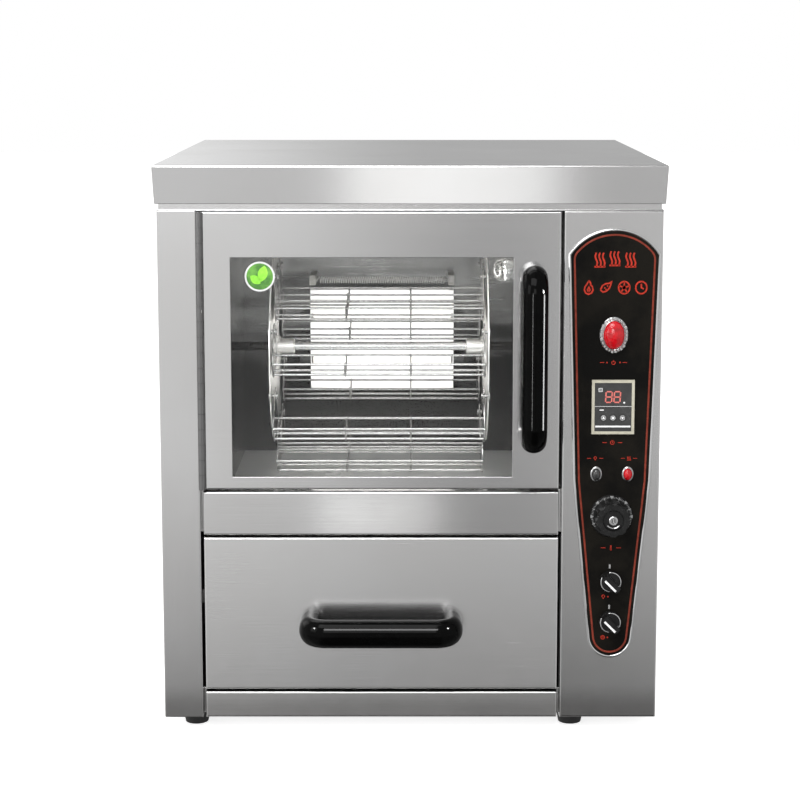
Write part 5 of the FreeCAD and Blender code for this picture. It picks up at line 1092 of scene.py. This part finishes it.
COIL_TURNS = 54
COIL_WIRE = 0.6 * MM
COIL_LEAD = 5.0 * MM
COIL_STEPS = 16


def make_coil():
    low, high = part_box("coil_heater")
    y, z = (low.y + high.y) / 2, (low.z + high.z) / 2
    radius = (high.z - low.z) / 2 - COIL_WIRE
    start, stop = low.x + COIL_LEAD, high.x - COIL_LEAD
    bend = COIL_STEPS // 4
    path = [(low.x, y - radius, z)]
    for k in range(-bend, COIL_TURNS * COIL_STEPS + bend + 1):
        turns = k / COIL_STEPS
        inside = min(max(turns, 0.0), COIL_TURNS)
        x = start + (stop - start) * inside / COIL_TURNS + (turns - inside) * 2 * COIL_LEAD
        path.append((x, y + radius * math.sin(TURN * turns), z + radius * math.cos(TURN * turns)))
    path.append((high.x, y + radius, z))
    bm = bmesh.new()
    add_tube(bm, path, COIL_WIRE, 8)
    coil = finish_piece(bm, "heater_coil_wire", "heater_coil", "casing", 60)
    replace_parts(coil, "coil_heater")


# Oven lamp: foil-wrapped socket, clear bulb, glowing core and wire guard, in millimetres out from the wall

SOCKET = ((0, 0), (0, 14.0), (8.0, 13.5), (12.0, 12.0), (16.0, 12.6), (21.0, 13.8), (26.0, 14.2), (26.0, 13.6),
          (21.0, 13.1), (16.0, 11.4), (12.0, 7.0), (12.0, 0))
BULB = ((11.0, 6.0), (14.0, 6.6), (18.0, 8.6), (23.0, 10.6), (28.0, 11.0), (33.0, 10.0), (37.0, 7.4), (39.5, 4.2),
        (40.6, 0))
CREASED_FROM, CREASED_BEYOND, CREASE_LEAN = 5.0 * MM, 8.8 * MM, 0.7 * MM
CREASE_DEPTH, CREASE_PINCH = 0.05, 0.04
CORE_START, CORE_LENGTH, CORE_RADIUS, CORE_WIRE = 19 * MM, 9 * MM, 1.5 * MM, 0.35 * MM
CORE_STEPS, CORE_TURN_STEPS = 80, 8
HOOPS_AT, HOOP_RADIUS, HOOP_WIRE, HOOP_SIDES = (14.0, 30.0), 13.6 * MM, 0.8 * MM, 40
GUARD_LEG = ((1.0, 14.2), (8.0, 14.4), (30.0, 13.6), (36.0, 11.8), (40.0, 7.0), (41.0, 1.2))
GUARD_LEGS, LEG_WIRE, LEG_TURN = 5, 0.7 * MM, 0.4
LAMP_POWER, LAMP_OUT, LAMP_SIZE = 1.1, 27 * MM, 5 * MM
LAMP_COLOUR = (1.0, 0.97, 0.92)


def crease_foil(bm, wall, y, z, reach):
    """Crumples the open end of the foil cup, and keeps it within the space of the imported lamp."""
    for vert in bm.verts:
        out = Vector((0, vert.co.y - y, vert.co.z - z))
        if wall - vert.co.x > CREASED_FROM and out.length > CREASED_BEYOND:
            turn = math.atan2(out.z, out.y)
            crease = math.sin(7 * turn + 900 * vert.co.x) + 0.6 * math.sin(13 * turn)
            pressed = out * (CREASE_DEPTH * crease - CREASE_PINCH)
            vert.co = vert.co + pressed + Vector((-CREASE_LEAN * (1 + crease), 0, 0))
            out = Vector((0, vert.co.y - y, vert.co.z - z))
            if out.length > reach:
                vert.co = vert.co - out * (1 - reach / out.length)


def make_oven_lamp():
    low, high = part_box("oven_lamp")
    wall, y, z = high.x, (low.y + high.y) / 2, (low.z + high.z) / 2

    def around(out, radius, turn):
        return wall - out, y + radius * math.cos(turn), z + radius * math.sin(turn)

    bm = bmesh.new()
    add_turned(bm, in_metres(SOCKET), (wall, y, z), (-1, 0, 0), 44)
    crease_foil(bm, wall, y, z, (high.z - low.z) / 2)
    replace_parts(finish_piece(bm, "lamp_socket", "foil", "casing", 12), "oven_lamp")
    bm = bmesh.new()
    add_turned(bm, in_metres(BULB), (wall, y, z), (-1, 0, 0), 40)
    finish_piece(bm, "lamp_bulb", "bulb_glass", "casing", 60)
    bm = bmesh.new()
    core = [around(CORE_START + CORE_LENGTH * k / CORE_STEPS, CORE_RADIUS, TURN * k / CORE_TURN_STEPS)
            for k in range(CORE_STEPS + 1)]
    add_tube(bm, core, CORE_WIRE, 8)
    finish_piece(bm, "lamp_core", "bulb_glow", "casing", 60)
    bm = bmesh.new()
    for x in HOOPS_AT:
        hoop = [around(x * MM, HOOP_RADIUS, TURN * k / HOOP_SIDES) for k in range(HOOP_SIDES)]
        add_tube(bm, hoop, HOOP_WIRE, 8, True)
    for k in range(GUARD_LEGS):
        turn = TURN * k / GUARD_LEGS + LEG_TURN
        add_tube(bm, [around(x, radius, turn) for x, radius in in_metres(GUARD_LEG)], LEG_WIRE, 8)
    finish_piece(bm, "lamp_guard", "bright_wire", "casing", 60)
    light = add_light("oven_lamp_light", "POINT", (wall - LAMP_OUT, y, z), LAMP_POWER, color=LAMP_COLOUR,
                      shadow_soft_size=LAMP_SIZE)
    light.visible_transmission = False


# Studio and camera

def add_light(name, kind, at, energy, **settings):
    light = bpy.data.lights.new(name, kind)
    light.energy = energy
    for label, value in settings.items():
        setattr(light, label, value)
    item = add_object(name, light, at)
    item.visible_camera = False
    return item


PHOTO_SIDE = 800
CAMERA_FOCUS = 1986.0
CAMERA_SHIFT = (-0.0111, -0.10)
CAMERA_AT = (-0.0013, -2.5215, 0.803)
CAMERA_PITCH = 7.97
SENSOR = 36.0
FLOOR_HALF = 12.0
FLOOR_GLOW = 0.75
DOOR_BAR, DRAWER_BAR = ("door_handle",), ("drawer_handle",)

# Each light's name, place, target, width, height and power, and the only nodes that it lights, if not all
LIGHTS = (
    ("softbox_high", (-0.5, -1.6, 2.5), (0, -0.1, 0.35), 1.8, 1.4, 55.0, ()),
    ("softbox_left", (-2.2, -1.6, 1.3), (0, 0, 0.35), 1.2, 1.4, 22.0, ()),
    ("softbox_front", (-0.2, -2.9, 1.2), (0, -0.2, 0.5), 0.9, 0.9, 14.0, ()),
    ("strip_left", (-0.59, -1.97, 0.36), (0.15, -0.33, 0.42), 0.08, 0.7, 16.0, DOOR_BAR),
    ("strip_right", (1.65, -0.70, 0.24), (0.15, -0.33, 0.42), 0.34, 0.44, 70.0, DOOR_BAR),
    ("card_right", (1.5, -0.9, 0.72), (0.15, -0.33, 0.55), 0.20, 0.20, 160.0, DOOR_BAR),
    ("strip_middle", (-0.02, -0.985, 0.59), (-0.02, -0.33, 0.13), 0.40, 0.16, 11.0, DRAWER_BAR),
    ("card_high", (-0.03, -0.62, 1.2), (-0.03, -0.33, 0.13), 0.9, 0.25, 1.5, DRAWER_BAR),
    ("card_left_low", (-0.86, -0.75, 0.67), (0, -0.33, 0.13), 0.12, 0.12, 20.0, DRAWER_BAR),
    ("card_right_low", (0.86, -0.75, 0.67), (0, -0.33, 0.13), 0.12, 0.12, 20.0, DRAWER_BAR),
    ("fascia_light", (0.08, -1.75, 0.34), (0.05, -0.29, 0.643), 0.40, 0.5, 0.75, ("lid",)),
    ("rail_light", (-0.05, -1.05, 0.07), (-0.04, -0.27, 0.26), 0.18, 0.09, 0.035, ("mid_rail",)),
)
GLOW_POWER, GLOW_WIDE, GLOW_TALL, GLOW_IN, GLOW_DROP, GLOW_TARGET = 1.5, 0.28, 0.12, 0.04, 0.02, (0.09, 0.40)
WASH_POWER, WASH_GAP = 0.13, 0.02


def make_world():
    """A soft room, brighter to the left and upwards; white where the camera looks past the oven."""
    world = bpy.data.worlds.new("studio")
    bpy.context.scene.world = world
    world.use_nodes = True
    tree = world.node_tree
    shade = tree.nodes["Background"]
    way = add_node(tree, "ShaderNodeTexCoord").outputs["Generated"]
    upward = spread(tree, one_of(tree, way, "Z"), -0.385, -0.215, 0.04, 0.95, smooth=True)
    across = one_of(tree, way, "X")
    aside = spread(tree, math_node(tree, "ABSOLUTE", across), 0.22, 0.5, 0.0, 0.55)
    from_left = spread(tree, across, -0.09, 0.062, 1.05, 0.34, smooth=True)
    from_right = spread(tree, across, 0.066, 0.088, 0.34, 0.85, smooth=True)
    sideways = math_node(tree, "MAXIMUM", from_left, from_right)
    front = times(tree, math_node(tree, "MAXIMUM", upward, aside), sideways)
    back = spread(tree, across, -0.16, 0.02, 1.0, 0.5, smooth=True)
    behind = spread(tree, one_of(tree, way, "Y"), -0.3, 0.3, 0.0, 1.0)
    room = mix_values(tree, behind, front, back)
    ray = add_node(tree, "ShaderNodeLightPath").outputs
    bounces = math_node(tree, "ADD", ray["Glossy Depth"], ray["Diffuse Depth"])
    through = times(tree, ray["Is Transmission Ray"], math_node(tree, "LESS_THAN", bounces, 0.5))
    seen = math_node(tree, "MAXIMUM", ray["Is Camera Ray"], through)
    set_sockets(tree, shade, Strength=mix_values(tree, seen, room, 1.0), Color=(1, 1, 1, 1))


def make_floor():
    """A pale floor that keeps the oven's soft shadow and otherwise shows as white as the backdrop."""
    tree, shader = new_material("studio_floor")
    cloud = place_group(tree, CLOUD, Colour=grey(0.80), Patch=grey(0.785), Scale=3.0, Smooth=0.5, Rough=0.6)
    ray = add_node(tree, "ShaderNodeLightPath")
    set_sockets(tree, shader, Base_Color=cloud["Colour"], Roughness=cloud["Roughness"], Emission_Color=(1, 1, 1, 1),
                Emission_Strength=times(tree, ray.outputs["Is Camera Ray"], FLOOR_GLOW))
    bm = bmesh.new()
    bmesh.ops.create_grid(bm, x_segments=8, y_segments=8, size=FLOOR_HALF)
    floor = mesh_object(bm, "studio_floor", "studio_floor")
    floor.visible_glossy = False


def add_softbox(name, at, target, wide, tall, energy, only=()):
    """A flat lamp. With names in only it lights those nodes alone, as flags and cards do in a studio."""
    item = add_light(name, "AREA", at, energy, shape="RECTANGLE", size=wide, size_y=tall)
    item.rotation_euler = (Vector(target) - Vector(at)).to_track_quat("-Z", "Y").to_euler()
    if only:
        item.visible_diffuse = False
        lit = bpy.data.collections.new(name + "_lit")
        for node in only:
            lit.objects.link(nodes[node])
        item.light_linking.receiver_collection = lit
    return item


def make_lights():
    for light in LIGHTS:
        add_softbox(*light)
    low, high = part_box("cavity_wrap")
    x = (low.x + high.x) / 2
    glow = add_softbox("cavity_glow", (x, low.y + GLOW_IN, high.z - GLOW_DROP), (x, *GLOW_TARGET), GLOW_WIDE, GLOW_TALL,
                       GLOW_POWER)
    low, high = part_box("heater_reflector")
    x, z = (low.x + high.x) / 2, (low.z + high.z) / 2
    wash = add_softbox("reflector_wash", (x, low.y - WASH_GAP, z), (x, high.y, z), high.x - low.x, high.z - low.z,
                       WASH_POWER)
    glow.visible_glossy = wash.visible_glossy = False


def make_camera():
    data = bpy.data.cameras.new("camera")
    data.sensor_width = SENSOR
    data.lens = CAMERA_FOCUS * SENSOR / PHOTO_SIDE
    data.shift_x, data.shift_y = CAMERA_SHIFT
    camera = add_object("camera", data, CAMERA_AT)
    camera.rotation_euler = (math.radians(90 - CAMERA_PITCH), 0, 0)
    bpy.context.scene.camera = camera


make_metals()
make_plastics_and_paints()
make_lamp_and_glass_finishes()
dress_nodes()
make_camera()
make_plate_trim()
make_plate_print()
make_timer()
make_dial()
make_switches()
make_left_lens()
make_main_crimps()
make_gap_shade_strips()
make_sticker()
for basket_number in range(1, 9):
    make_basket_trim(basket_number)
make_hub_plates()
make_coil()
make_oven_lamp()
make_world()
make_floor()
make_lights()
bpy.context.scene.view_settings.view_transform = "Standard"
